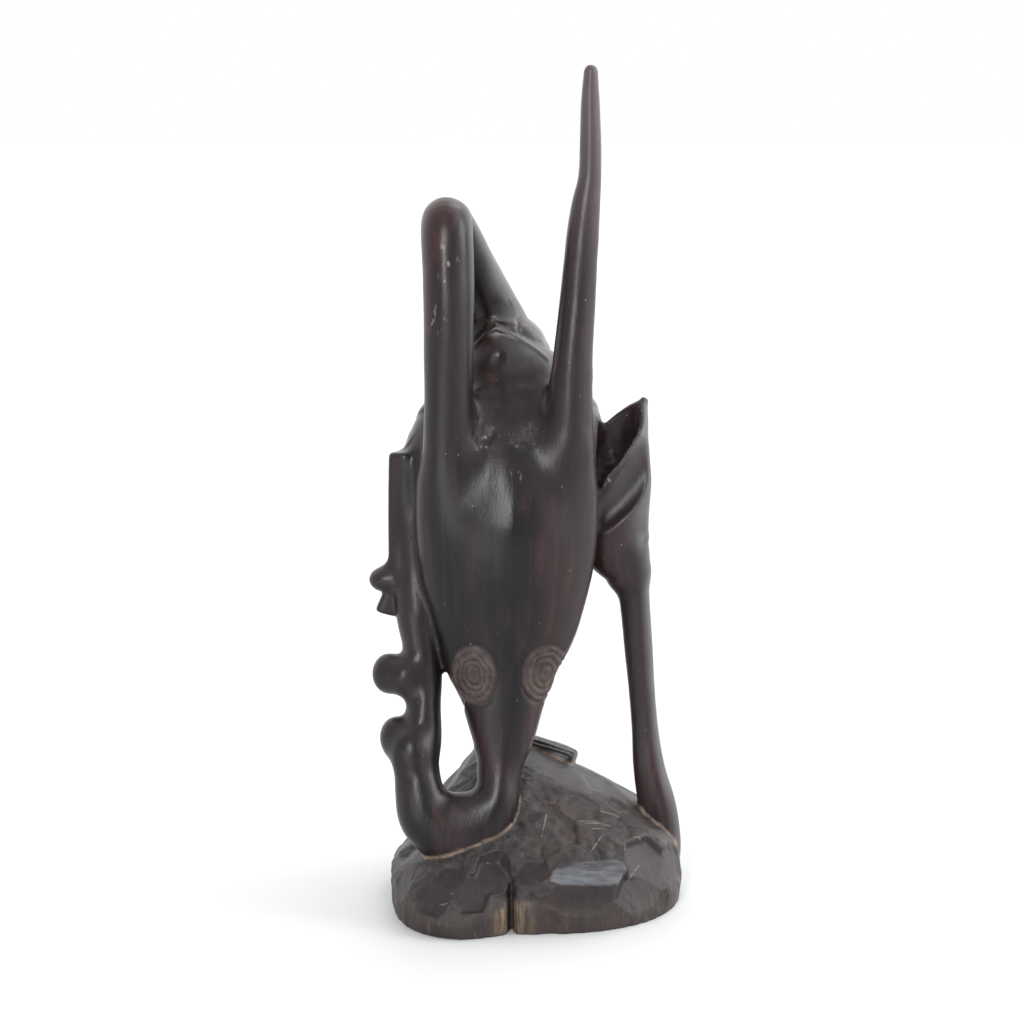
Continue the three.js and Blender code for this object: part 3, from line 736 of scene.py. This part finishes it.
class Finish:
    """What the tools and hands left, with painted sheen and edge highlights: masks from 0 to 1,
    and the relief.
    """

    def __init__(self, p, outward):
        self.p, self.outward = p, outward
        self.figure_at, self.base_at, self.mound_at = figure(p), base(p), mound(p)
        self.on_base = ramp(self.figure_at - self.base_at, -0.5, 1.0)
        self.height = WAVE_HEIGHT * noise(p, 24, 1) + RIPPLE_HEIGHT * noise(p, 7, 2)
        self.height += STREAK_HEIGHT * (1 - self.on_base) * noise(p * (1, 1, 0.16), 8, 14)
        self.seam = ramp(np.abs(self.figure_at - self.base_at) + 0.8 * noise(p, 6, 13), 1.6, 0.3)
        self.add_keel()
        self.add_eyes()
        self.add_hollows()
        self.add_crown_and_hand()
        self.add_base_marks()
        self.add_toes()
        self.add_wear()

    def add_keel(self):
        p = self.p
        keel = ramp(p[:, 2], *KEEL_FOOT) * ramp(p[:, 2], *KEEL_HEAD) * (p[:, 1] < LEAF_FRONT)
        keel = keel * (1 - self.on_base)
        self.height += KEEL_HEIGHT * keel * np.exp(-np.abs(p[:, 0] - KEEL_X) / KEEL_SPREAD)

    def add_eyes(self):
        """Low bosses with rings that are dark in places and a groove all round."""
        p = self.p
        self.eye = np.zeros(len(p))
        self.ring = np.zeros(len(p))
        sway, shake = RING_SWAY * noise(p, 7, 3), noise(p, 2.5, 22)
        broken = 0.45 + 0.55 * ramp(noise(p, 5, 23), -0.4, 0.4)
        for eye in EYES:
            r = eye_radius(p, eye)
            boss = ramp(r, *EYE_EDGE)
            rings = np.cos(r * 2 * math.pi * EYE_RINGS + sway + shake)
            self.height += boss * (BOSS_HEIGHT + RING_HEIGHT * rings * ramp(r, 0.1, 0.3))
            groove = np.exp(-(((r - EYE_EDGE[0]) / EYE_GROOVE_WIDTH) ** 2))
            self.height -= EYE_GROOVE_DEPTH * groove
            self.eye = np.maximum(self.eye, boss)
            self.ring = np.maximum(self.ring, boss * ramp(rings, -0.3, -0.95) * broken)

    def add_hollows(self):
        p = self.p
        self.pocket = np.zeros(len(p))
        for field in POCKETS:
            self.pocket = np.maximum(self.pocket, ramp(field(p), 5, -0.5))
        chips = ramp(scoops(p * (1, 1, 0.5), 5.0, 4), 0.5, 0.1)
        self.height -= self.pocket * POCKET_DEPTH * chips
        self.ear = ramp(EAR_HOLLOW(p), 2.5, 0)
        self.deep_ear = self.ear * ramp(p[:, 2], *EAR_DEEP)
        self.height -= EAR_DEPTH * self.deep_ear * scoops(p, 7, 5)

    def add_crown_and_hand(self):
        """The hand lies on the crown, and both have a raised edge with a gap between."""
        p = self.p
        hand_at, crown_at = HAND(p), CROWN(p)
        furrow = np.exp(-(((hand_at - 1.6) / 0.8) ** 2)) * ramp(crown_at, 5, 2)
        self.height -= FURROW_DEPTH * furrow * ramp(p[:, 1], 24, 12)
        apart = np.abs(np.minimum(ARM(p), hand_at) - crown_at) + 0.5 * noise(p, 5, 21)
        seam = ramp(apart, 1.3, 0.3) * ramp(p[:, 2], *SEAM_LOW) * ramp(p[:, 1], *SEAM_BACK)
        seam *= ramp(crown_at, 3, 1.5)
        self.height -= SEAM_DEPTH * seam

        uneven = 0.5 * noise(p, 5, 27)
        from_crown = from_line(p, CROWN_EDGE) + uneven
        from_hand = from_line(p, HAND_EDGE) + uneven
        crown_edge = CROWN_EDGE_HEIGHT * ramp(from_crown, 2.2, 0.5)
        self.height += crown_edge + HAND_EDGE_HEIGHT * ramp(from_hand, 2.0, 0.5)
        self.height -= GAP_DEPTH * ramp(from_line(p - GAP_OFFSET, CROWN_EDGE), 2.2, 0.6)
        # A painted highlight: the crown's and the hand's raised edges are painted pale in the
        # seam mask, as light catching them.
        edges = np.maximum(ramp(from_crown, 1.3, 0.3), 0.6 * ramp(from_hand, 1.2, 0.3))
        self.seam = np.maximum(self.seam, np.maximum(0.4 * seam, 0.6 * edges))

        x, z = FINGERS_ABOUT
        fingers = np.cos(np.hypot(p[:, 0] - x, p[:, 2] - z) * 2 * math.pi / FINGER_WIDTH)
        self.height += FINGER_HEIGHT * ramp(hand_at, 1.5, 0) * fingers

    def add_base_marks(self):
        """Upright splinters low on the wall, chips on the slope between the front's smooth
        flat cuts, and a smoother crest."""
        p, on_base = self.p, self.on_base
        up = self.outward[:, 2]
        front = ramp(flat_cuts(p, FRONT_CUTS) - self.mound_at, 0.1, 0.5) * on_base
        self.facet = front
        scuffed = flat_cuts(p, [FRONT_CUTS[SCUFFED_CUT]]) - self.base_at
        self.scuff = front * ramp(scuffed, -0.5, -0.1)

        wall_at = p[:, 2] + 2.5 * noise(p, 7, 9)
        self.wall = on_base * ramp(wall_at, *WALL_TOP) * ramp(up, 0.5, 0.3)
        self.wall *= 1 - 0.6 * front * ramp(p[:, 2], 11, 14)
        crest_at = p[:, 1] + CREST_SLANT * p[:, 0] + 2 * noise(p, 9, 10)
        self.crest = on_base * ramp(crest_at, *CREST_FRONT)
        splinters = noise(p * (1, 1, 0.12), 1.7, 7) + 0.5 * noise(p * (1, 1, 0.2), 3.4, 8)
        self.height += SPLINTER_HEIGHT * self.wall * splinters

        slope = on_base * (1 - self.wall) * (1 - front)
        warped = p * (0.75, 1, 1) + 4 * noise(p, 11, 11)[:, None] * (1, -0.6, 0.8)
        chops = noise(warped * (1, 0.5, 0.5), 5, 18) + 0.6 * noise(warped, 3.2, 19)
        marks = BOWL_DEPTH * scoops(warped, 14, 6) * ramp(noise(p, 20, 15), -0.5, 0.3)
        chips = CHIP_HEIGHT * ramp(noise(warped, 6, 20), 0.0, 0.15)
        marks += CHOP_HEIGHT * ramp(chops, -0.5, 0.3) + chips
        marks = marks - CHIP_LEVEL + 0.2 * noise(p, 4, 12)
        self.height += slope * (1 - 0.75 * self.crest) * marks

        beside_cleft = ramp(np.abs(p[:, 0] - CLEFT_X), *CLEFT_SIDE)
        self.split = self.wall * (beside_cleft * ramp(p[:, 1], *CLEFT_FRONT))

    def add_toes(self):
        p = self.p
        toe = ramp(BACK_FOOT(p), 2, 0) * ramp(self.outward[:, 2], 0.1, 0.5)
        for line in TOE_LINES:
            at = np.abs(p[:, 1] - TOES_Y + TOES_SLANT * p[:, 0] - line)
            groove = np.exp(-((at / TOE_WIDTH) ** 2))
            self.height -= TOE_DEPTH * toe * groove * ramp(p[:, 0], -8, 2)

    def add_wear(self):
        """What is left rough, dusty or worn, and a painted sheen: grey standing in for reflected
        light.
        """
        p = self.p
        bare = np.maximum(0.8 * self.pocket, 0.6 * self.deep_ear)
        rough_base = self.on_base * (0.95 - 0.3 * self.facet - 0.25 * self.crest)
        self.rough = np.maximum(bare, rough_base)
        self.chipped = self.pocket
        for place, radius in DUSTY:
            away = np.linalg.norm(p - place, axis=1)
            self.chipped = np.maximum(self.chipped, ramp(away, radius, 0.4 * radius))

        # A painted sheen: grey colour standing in for the light reflected on the back of the
        # limb high up and on the wing's side.
        self.worn = ramp(p[:, 2], *HORN_WORN) * ramp(HORN(p), 2, 0)
        aside, high = ramp(p[:, 0], 38, 48), ramp(p[:, 2], 165, 215)
        sheen_by_facing = ramp(self.outward @ SHEEN_FACING, 0.1, 0.8) * np.maximum(aside, high)
        sheen_by_facing *= np.maximum(aside * high, ramp(p[:, 1], -8, 9)) * (0.7 + 0.3 * high)
        self.handled = sheen_by_facing * (1 - self.on_base) * (1 - self.worn) * (1 - self.ear)


# The mesh.


def coordinates(mesh):
    """The mesh's points in millimetres."""
    flat = np.empty(len(mesh.vertices) * 3)
    mesh.vertices.foreach_get("co", flat)
    return flat.reshape(-1, 3) / MM


def set_coordinates(mesh, p):
    mesh.vertices.foreach_set("co", (p * MM).ravel())
    mesh.update()


def with_modifier(piece, kind, **settings):
    """Gives the piece the mesh that one modifier makes of its own."""
    modifier = piece.modifiers.new(kind, kind)
    for name, value in settings.items():
        setattr(modifier, name, value)
    graph = bpy.context.evaluated_depsgraph_get()
    mesh = bpy.data.meshes.new_from_object(piece.evaluated_get(graph))
    piece.modifiers.clear()
    piece.data = mesh


def draw_onto(field, mesh, rounds):
    """Moves the mesh's points along their normals onto the field's surface."""
    for _ in range(rounds):
        p = coordinates(mesh)
        step = np.clip(field(p), -MOST_STEP, MOST_STEP)
        set_coordinates(mesh, p - normals_of(mesh) * step[:, None])


def edges_of(mesh):
    pairs = np.empty(len(mesh.edges) * 2, np.int64)
    mesh.edges.foreach_get("vertices", pairs)
    return pairs.reshape(-1, 2)


def neighbour_mean(values, edges):
    """The mean over each vertex's neighbours."""
    total = np.zeros_like(values)
    count = np.bincount(edges.ravel(), minlength=len(values))
    np.add.at(total, edges[:, 0], values[edges[:, 1]])
    np.add.at(total, edges[:, 1], values[edges[:, 0]])
    return total / np.maximum(count, 1).reshape(-1, *[1] * (values.ndim - 1))


def normals_of(mesh):
    flat = np.empty(len(mesh.vertices) * 3)
    mesh.vertices.foreach_get("normal", flat)
    return flat.reshape(-1, 3)


def curvature(mesh):
    """Positive in creases and negative on ridges, evened over a few rings."""
    p, edges = coordinates(mesh), edges_of(mesh)
    bend = ((neighbour_mean(p, edges) - p) * normals_of(mesh)).sum(1)
    spacing = np.linalg.norm(p[edges[:, 0]] - p[edges[:, 1]], axis=1).mean()
    bend = np.clip(bend / spacing, -0.6, 0.6)
    for _ in range(3):
        bend = 0.5 * bend + 0.5 * neighbour_mean(bend, edges)
    return bend


def attribute(mesh, name, values):
    layer = mesh.attributes.new(name, "FLOAT", "POINT")
    layer.data.foreach_set("value", values.astype(np.float32))


def even_out(mesh):
    """Evens out the whole surface, then the crown's front and point, and gives the points."""
    edges = edges_of(mesh)
    for turn in range(EVEN_ROUNDS):
        p = coordinates(mesh)
        set_coordinates(mesh, 0.5 * p + 0.5 * neighbour_mean(p, edges))
        if turn < REFITTED:
            draw_onto(carving, mesh, 1)
    p = coordinates(mesh)
    crown = ramp(p[:, 2], 262, 270) * ramp(p[:, 2], 298, 290) * ramp(p[:, 1], 4, -2)
    crown *= ramp(np.abs(p[:, 0] - KEEL_X), 21, 15)
    from_point = np.linalg.norm(p - CROWN_POINT, axis=1)
    crown = np.maximum(crown, ramp(from_point, *CROWN_POINT_REACH))
    for _ in range(CROWN_EVEN_ROUNDS):
        p = p + crown[:, None] * (neighbour_mean(p, edges) - p)
    set_coordinates(mesh, p)
    return p


def build_carving():
    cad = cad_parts[NODE]
    piece = bpy.data.objects.new("carving_surface", cad.data.copy())
    bpy.context.scene.collection.objects.link(piece)
    piece.data.materials.clear()
    with_modifier(piece, "REMESH", mode="VOXEL", voxel_size=VOXEL * MM)

    mesh = piece.data
    draw_onto(carving, mesh, FIT_ROUNDS)
    p = even_out(mesh)
    outward = normals_of(mesh)
    p = p + outward * Finish(p, outward).height[:, None]
    p[:, 2] = np.maximum(p[:, 2], 0)
    set_coordinates(mesh, p)

    with_modifier(piece, "TRIANGULATE")
    share = min(MOST_TRIANGLES / len(piece.data.polygons), 1)
    with_modifier(piece, "DECIMATE", ratio=share)

    mesh = piece.data
    finish = Finish(coordinates(mesh), normals_of(mesh))
    bend = curvature(mesh)
    for name in MASKS:
        attribute(mesh, name, getattr(finish, name))
    attribute(mesh, "crease", ramp(bend, 0.04, 0.22))
    attribute(mesh, "ridge", ramp(-bend, 0.05, 0.2))
    mesh.shade_smooth()
    return piece


# Materials.


class Nodes:
    """Builds the nodes of a material, or of the world, with one call each."""

    def __init__(self, name, kind="materials"):
        self.material = getattr(bpy.data, kind).new(name)
        self.material.use_nodes = True
        self.tree = self.material.node_tree
        found = {node.bl_idname: node for node in self.tree.nodes}
        self.shader = found.get("ShaderNodeBsdfPrincipled") or found["ShaderNodeBackground"]
        self.masks = {}

    def add(self, kind, inputs=None, **settings):
        node = self.tree.nodes.new(kind)
        for name, value in settings.items():
            setattr(node, name, value)
        for name, value in (inputs or {}).items():
            self.put(node.inputs[name], value)
        return node

    def put(self, socket, value):
        if isinstance(value, bpy.types.NodeSocket):
            self.tree.links.new(value, socket)
        else:
            socket.default_value = value

    def mask(self, name):
        """One of the mesh's masks, read by one node however often it is used."""
        if name not in self.masks:
            node = self.add("ShaderNodeAttribute", attribute_name=name)
            self.masks[name] = node.outputs["Fac"]
        return self.masks[name]

    def place(self, scale):
        inputs = {"Vector": self.add("ShaderNodeTexCoord").outputs["Object"], "Scale": scale}
        return self.add("ShaderNodeMapping", inputs).outputs["Vector"]

    def noise(self, stretch, scale, detail=3.0, roughness=0.5):
        inputs = {
            "Vector": self.place(stretch),
            "Scale": scale,
            "Detail": detail,
            "Roughness": roughness,
        }
        return self.add("ShaderNodeTexNoise", inputs).outputs["Fac"]

    def span(self, value, low, high, to_low=0.0, to_high=1.0):
        """Maps low to to_low and high to to_high, and stays at them beyond."""
        inputs = {
            "Value": value,
            "From Min": low,
            "From Max": high,
            "To Min": to_low,
            "To Max": to_high,
        }
        return self.add("ShaderNodeMapRange", inputs).outputs["Result"]

    def times(self, a, b):
        return self.add("ShaderNodeMath", {0: a, 1: b}, operation="MULTIPLY").outputs[0]

    def vector(self, operation, a, b, output="Vector"):
        node = self.add("ShaderNodeVectorMath", {0: a}, operation=operation)
        if b is not None:
            self.put(node.inputs["Scale" if operation == "SCALE" else 1], b)
        return node.outputs[output]

    def plus(self, a, b):
        return self.add("ShaderNodeMath", {0: a, 1: b}, operation="ADD").outputs[0]

    def mix(self, factor, a, b):
        node = self.add("ShaderNodeMix", data_type="RGBA")
        self.put(node.inputs["Factor"], factor)
        self.put(node.inputs[6], a)
        self.put(node.inputs[7], b)
        return node.outputs[2]

    def coat(self, under, over, mask, share):
        """The colour over covers the one under it by a share of the mask."""
        return self.mix(self.times(mask, share), under, over)


# The wood's colours, in linear light.
BLACK = (0.0055, 0.0047, 0.0053, 1)
BROWN = (0.017, 0.0115, 0.0125, 1)
RED = (0.048, 0.021, 0.021, 1)
GREY = (0.014, 0.013, 0.0132, 1)
UMBER = (0.042, 0.032, 0.029, 1)
CREST_GREY = (0.046, 0.041, 0.040, 1)
WORN = (0.085, 0.066, 0.070, 1)
# A painted sheen: pale grey standing in for reflected light.
SHEEN_COLOUR = (0.105, 0.106, 0.111, 1)
IRIS = (0.082, 0.060, 0.050, 1)
SCRATCHED = (0.17, 0.15, 0.13, 1)
SCUFFED = (0.10, 0.104, 0.112, 1)
TAN = (0.20, 0.135, 0.09, 1)
DUST = (0.34, 0.30, 0.25, 1)

# Light scratches on the base's slope, each from one point to another, and half their width.
SCRATCHES = [
    ((5.2, -37.9, 54.7), (2.5, -50.8, 45.9)),
    ((23, -37, 51), (37.1, -33.6, 47.8)),
    ((26.2, -38.2, 49.8), (39.8, -32.7, 47)),
    ((29.4, -40.7, 47.2), (35.9, -38.4, 45.9)),
    ((34.6, -25.4, 52.6), (44.4, -23.6, 48.2)),
    ((34.7, -43.4, 43.6), (28.5, -54, 38.5)),
    ((50, -36.2, 39.7), (55.5, -32.9, 37.5)),
    ((55.6, -44.9, 30.1), (49.3, -55.3, 24.5)),
    ((-50.4, -76.2, 18.7), (-44.6, -77.4, 19)),
]
SCRATCH_WIDTH = 0.4
SLOPE_FACING = (0.3, -0.47, 0.83)


def scratches(n):
    """1 on the scratches, fading to 0: they are drawn straight onto the slope's plane."""
    facing = unit(np.array(SLOPE_FACING))
    across = unit(np.cross((0, 0, 1), facing))
    up = np.cross(facing, across)
    place = n.add("ShaderNodeTexCoord").outputs["Object"]
    u = n.vector("DOT_PRODUCT", place, tuple(across), "Value")
    v = n.vector("DOT_PRODUCT", place, tuple(up), "Value")
    flat = n.add("ShaderNodeCombineXYZ", {"X": u, "Y": v}).outputs["Vector"]
    total = 0.0
    for start, end in SCRATCHES:
        a, b = (np.array([c @ across, c @ up, 0]) * MM for c in map(np.array, (start, end)))
        length = float(np.linalg.norm(b - a))
        along = tuple((b - a) / length)
        offset = n.vector("SUBTRACT", flat, tuple(a))
        reach = n.vector("DOT_PRODUCT", offset, along, "Value")
        reach = n.span(reach, 0.0, length, 0.0, length)
        aside = n.vector("SUBTRACT", offset, n.vector("SCALE", along, reach))
        width = SCRATCH_WIDTH * MM
        line = n.span(n.vector("LENGTH", aside, None, "Value"), 0.6 * width, width, 1.0, 0.0)
        total = n.plus(total, line)
    return total


# How the wood's patterns are stretched.
EVEN = (1, 1, 1)
LONG_GRAIN = (1, 1, 0.06)
PORES = (1, 1, 0.05)
FIBRES = (1, 1, 0.1)
ZONES = (1, 1, 0.25)
GLOSS_ZONES = (1, 1, 0.3)
SHORT_GRAIN = (1, 1, 0.4)
GRIT = (1, 1, 0.5)
SCUFFS = (0.25, 1, 1.6)

# The wood's specular level, where 0.5 is plain.
SPECULAR = 0.27

# The strength and the height in metres of each bump: open pores, splinters and bare grain.
PORE_BUMP = (0.2, 0.0004)
SPLINTER_BUMP = (0.8, 0.0012)
GRAIN_BUMP = (0.9, 0.0009)
POLISHED_BUMP = 0.08


class Blackwood(Nodes):
    """The carving's one material, with its patterns and its masks."""

    def __init__(self):
        super().__init__("blackwood")
        self.patches = self.noise(EVEN, 60, 4)
        self.specks = self.noise(EVEN, 230, 4, 0.6)
        self.fibre = self.noise(FIBRES, 420, 4, 0.6)
        colour = self.heartwood()
        colour = self.bare_base(colour)
        colour = self.fresh_wood(colour)
        colour = self.eyes_and_dust(colour)
        self.put(self.shader.inputs["Base Color"], colour)
        self.put(self.shader.inputs["Roughness"], self.roughness())
        self.put(self.shader.inputs["Normal"], self.bumps())
        self.shader.inputs["Specular IOR Level"].default_value = SPECULAR

    def heartwood(self):
        """Polished: near black, with brown bands and thin red streaks along the grain."""
        broad = self.noise(LONG_GRAIN, 30, 4)
        fine = self.noise(LONG_GRAIN, 190, 4, 0.6)
        zones = self.noise(ZONES, 14, 3)
        colour = self.mix(self.span(broad, 0.38, 0.62), BLACK, BROWN)
        colour = self.coat(colour, RED, self.span(zones, 0.48, 0.66), 0.5)
        streak = self.times(self.span(fine, 0.5, 0.66), self.span(zones, 0.4, 0.6, 0.25, 1.0))
        colour = self.coat(colour, RED, streak, 0.7)
        colour = self.coat(colour, WORN, self.mask("worn"), 0.8)
        # Painted sheen: pale grey standing in for the light reflected by the surfaces that face
        # right and back.
        cover = self.span(self.patches, 0.3, 0.6, 0.5, 0.85)
        return self.coat(colour, SHEEN_COLOUR, self.mask("handled"), cover)

    def bare_base(self, colour):
        """Unpolished, greyer on the crest and darker on the front's flat cuts, with painted
        shade in its creases.
        """
        rough, crease, ridge = self.mask("rough"), self.mask("crease"), self.mask("ridge")
        dry = self.mix(self.span(self.specks, 0.4, 0.66), GREY, UMBER)
        colour = self.coat(colour, dry, rough, self.span(self.patches, 0.3, 0.6, 0.55, 0.95))
        colour = self.coat(colour, CREST_GREY, self.mask("crest"), 0.4)
        colour = self.coat(colour, BROWN, self.mask("facet"), 0.55)
        scuffs = self.span(self.noise(SCUFFS, 260, 5, 0.6), 0.35, 0.62, 0.35, 0.95)
        colour = self.coat(colour, SCUFFED, self.mask("scuff"), scuffs)
        clear = self.times(rough, self.span(self.specks, 0.4, 0.5, 0.2, 0.8))
        colour = self.coat(colour, SCRATCHED, scratches(self), clear)
        # Painted shade: black in the creases of the rough wood, where shade falls.
        colour = self.coat(colour, BLACK, self.times(crease, rough), 0.7)
        return self.coat(colour, CREST_GREY, self.times(ridge, rough), 0.5)

    def fresh_wood(self, colour):
        """Upright splinters low on the wall are pale, most of all beside the cleft."""
        wall = self.mask("wall")
        colour = self.coat(colour, UMBER, wall, self.span(self.patches, 0.3, 0.6, 0.3, 0.9))
        flecks = self.times(wall, self.span(self.fibre, 0.6, 0.7))
        cover = self.span(self.patches, 0.42, 0.62, 0.1, 0.8)
        colour = self.coat(colour, TAN, flecks, cover)
        cover = self.span(self.fibre, 0.42, 0.62, 0.1, 0.75)
        return self.coat(colour, TAN, self.mask("split"), cover)

    def eyes_and_dust(self, colour):
        """The eyes were left bare, pale dust has settled in hollows and seams, and a painted
        highlight lies along the crown's and the hand's raised edges.
        """
        iris = self.mix(self.span(self.specks, 0.35, 0.65), UMBER, IRIS)
        cover = self.span(self.patches, 0.35, 0.6, 0.5, 0.95)
        colour = self.coat(colour, iris, self.mask("eye"), cover)
        colour = self.coat(colour, BLACK, self.mask("ring"), 0.75)
        colour = self.coat(colour, UMBER, self.mask("ridge"), 0.3)
        settled = self.span(self.specks, 0.45, 0.7, 0.0, 0.35)
        colour = self.coat(colour, TAN, self.mask("crease"), settled)
        # The seam mask holds pale dust in the seams and a painted highlight along the crown's
        # and the hand's raised edges.
        dust_and_edge_highlight = self.span(self.specks, 0.34, 0.56, 0.1, 0.75)
        colour = self.coat(colour, TAN, self.mask("seam"), dust_and_edge_highlight)
        chips = self.span(self.noise(SHORT_GRAIN, 420, 4), 0.6, 0.7)
        colour = self.coat(colour, DUST, self.times(self.mask("chipped"), chips), 0.45)
        grit = self.span(self.noise(GRIT, 640, 2), 0.74, 0.79)
        return self.coat(colour, DUST, grit, 0.4)

    def roughness(self):
        gloss = self.span(self.noise(GLOSS_ZONES, 40, 4), 0.3, 0.7, 0.27, 0.4)
        gloss = self.plus(gloss, self.times(self.mask("rough"), 0.18))
        gloss = self.plus(gloss, self.times(self.mask("eye"), 0.2))
        return self.plus(gloss, self.times(self.mask("crease"), 0.15))

    def bump(self, strength, distance, height, under=None):
        inputs = {"Strength": strength, "Distance": distance, "Height": height}
        if under is not None:
            inputs["Normal"] = under
        return self.add("ShaderNodeBump", inputs).outputs["Normal"]

    def bumps(self):
        """Pores all over, splinters low on the wall, and coarse grain where it is rough."""
        pores = self.bump(*PORE_BUMP, self.noise(PORES, 900, 2))
        strength, distance = SPLINTER_BUMP
        strength = self.times(self.mask("wall"), strength)
        splinters = self.bump(strength, distance, self.fibre, pores)
        strength, distance = GRAIN_BUMP
        strength = self.span(self.mask("rough"), 0.3, 1.0, POLISHED_BUMP, strength)
        return self.bump(strength, distance, self.noise(SHORT_GRAIN, 300, 6, 0.65), splinters)


# The floor is almost one grey, and a little uneven.
FLOOR_DARK = (0.53, 0.53, 0.53, 1)
FLOOR_LIGHT = (0.54, 0.54, 0.54, 1)
FLOOR_ROUGHNESS = 0.6


def studio_white():
    n = Nodes("studio_white")
    colour = n.mix(n.noise(EVEN, 3, 2), FLOOR_DARK, FLOOR_LIGHT)
    n.put(n.shader.inputs["Base Color"], colour)
    n.shader.inputs["Roughness"].default_value = FLOOR_ROUGHNESS
    return n.material


# The studio.

CAMERA_DISTANCE = 1.625
CAMERA_RISE = math.radians(11.0)
CAMERA_AIM = (-0.013, 0.0, 0.213)
LENS = 106.0
SENSOR_WIDTH = 36


def build_camera():
    data = bpy.data.cameras.new("camera")
    data.lens = LENS
    data.sensor_width = SENSOR_WIDTH
    camera = bpy.data.objects.new("camera", data)
    back = CAMERA_DISTANCE * math.cos(CAMERA_RISE)
    rise = CAMERA_DISTANCE * math.sin(CAMERA_RISE)
    x, y, z = CAMERA_AIM
    camera.location = (x, y - back, z + rise)
    camera.rotation_euler = (math.pi / 2 - CAMERA_RISE, 0, 0)
    bpy.context.scene.collection.objects.link(camera)
    bpy.context.scene.camera = camera


# The lights' colour, how wide each sun is, and what the area lights are aimed at.
COOL = (0.94, 0.97, 1.0)
SUN_SPREAD = math.radians(30)
MIDDLE = (0, 0, 0.2)
FOOT = (0, 0, 0.08)

# How bright the room is that the carving reflects, and where it brightens, as shares of a
# direction.
ABOVE = 0.7
BOTH_SIDES = 0.6
RIGHT_SIDE = 1.6
IN_FRONT = 0.36
AT_BACK = 1.7
BRIGHTENS = (0.3, 0.95)
TURNS_BACK = (-0.1, 0.8)

FLOOR_RADIUS = 6.0
FLOOR_CORNERS = 96
FLOOR_DROP = 0.0002


def area_light(name, at, aim, size, power):
    data = bpy.data.lights.new(name, "AREA")
    data.shape = "ELLIPSE"
    data.size, data.size_y = size
    data.energy = power
    data.color = COOL
    light = bpy.data.objects.new(name, data)
    light.location = at
    toward = np.array(aim, float) - np.array(at, float)
    flat = math.hypot(toward[0], toward[1])
    light.rotation_euler = (
        math.atan2(flat, -toward[2]),
        0,
        math.atan2(-toward[0], toward[1]),
    )
    light.visible_camera = False
    bpy.context.scene.collection.objects.link(light)


def sun(name, tip, lean, strength):
    """A distant light, turned from straight down by tip about x and lean about y. Its soft
    shadow is as strong all over the floor."""
    data = bpy.data.lights.new(name, "SUN")
    data.energy = strength
    data.color = COOL
    data.angle = SUN_SPREAD
    light = bpy.data.objects.new(name, data)
    light.rotation_euler = (math.radians(tip), math.radians(lean), 0)
    bpy.context.scene.collection.objects.link(light)


def build_floor():
    """A pale round floor, wide enough to reach past every view."""
    turns = np.linspace(0, 2 * math.pi, FLOOR_CORNERS, endpoint=False)
    x, y = FLOOR_RADIUS * np.cos(turns), FLOOR_RADIUS * np.sin(turns)
    edge = np.stack([x, y, np.full(FLOOR_CORNERS, -FLOOR_DROP)], 1).tolist()
    mesh = bpy.data.meshes.new("floor")
    mesh.from_pydata(edge, [], [range(len(edge))])
    floor = bpy.data.objects.new("floor", mesh)
    mesh.materials.append(studio_white())
    bpy.context.scene.collection.objects.link(floor)


def build_surroundings():
    """A room that is dim in front and bright behind and on the right, and plain white to
    the camera."""
    n = Nodes("studio", "worlds")
    direction = n.add("ShaderNodeTexCoord").outputs["Generated"]
    parts = n.add("ShaderNodeSeparateXYZ", {"Vector": direction}).outputs
    square = n.times(parts["X"], parts["X"])
    above = n.span(parts["Z"], *BRIGHTENS, 0.0, ABOVE)
    light = n.plus(above, n.span(square, *BRIGHTENS, 0.0, BOTH_SIDES))
    light = n.plus(light, n.span(parts["X"], *BRIGHTENS, 0.0, RIGHT_SIDE))
    light = n.plus(light, n.span(parts["Y"], *TURNS_BACK, IN_FRONT, AT_BACK))
    strength = n.add("ShaderNodeMix", data_type="FLOAT")
    n.put(strength.inputs["Factor"], n.add("ShaderNodeLightPath").outputs["Is Camera Ray"])
    n.put(strength.inputs[2], light)
    n.put(strength.inputs[3], 1.0)
    n.put(n.shader.inputs["Strength"], strength.outputs[0])
    n.shader.inputs["Color"].default_value = (1, 1, 1, 1)
    bpy.context.scene.world = n.material


def build_studio():
    build_surroundings()
    bpy.context.scene.view_settings.view_transform = "Standard"
    area_light("front_box", (-1.0, -4.0, 2.2), MIDDLE, (0.8, 2.6), 140)
    area_light("low_box", (-0.55, -0.8, 0.12), FOOT, (0.5, 0.3), 1.3)
    sun("back_sun", -29, 25, 0.6)
    sun("right_sun", 0, 42, 0.3)
    sun("side_sun", 5, 66, 1.3)
    build_floor()


build_camera()
build_studio()
carved = build_carving()
carved.data.materials.append(Blackwood().material)
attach(carved, "root")
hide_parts(NODE)
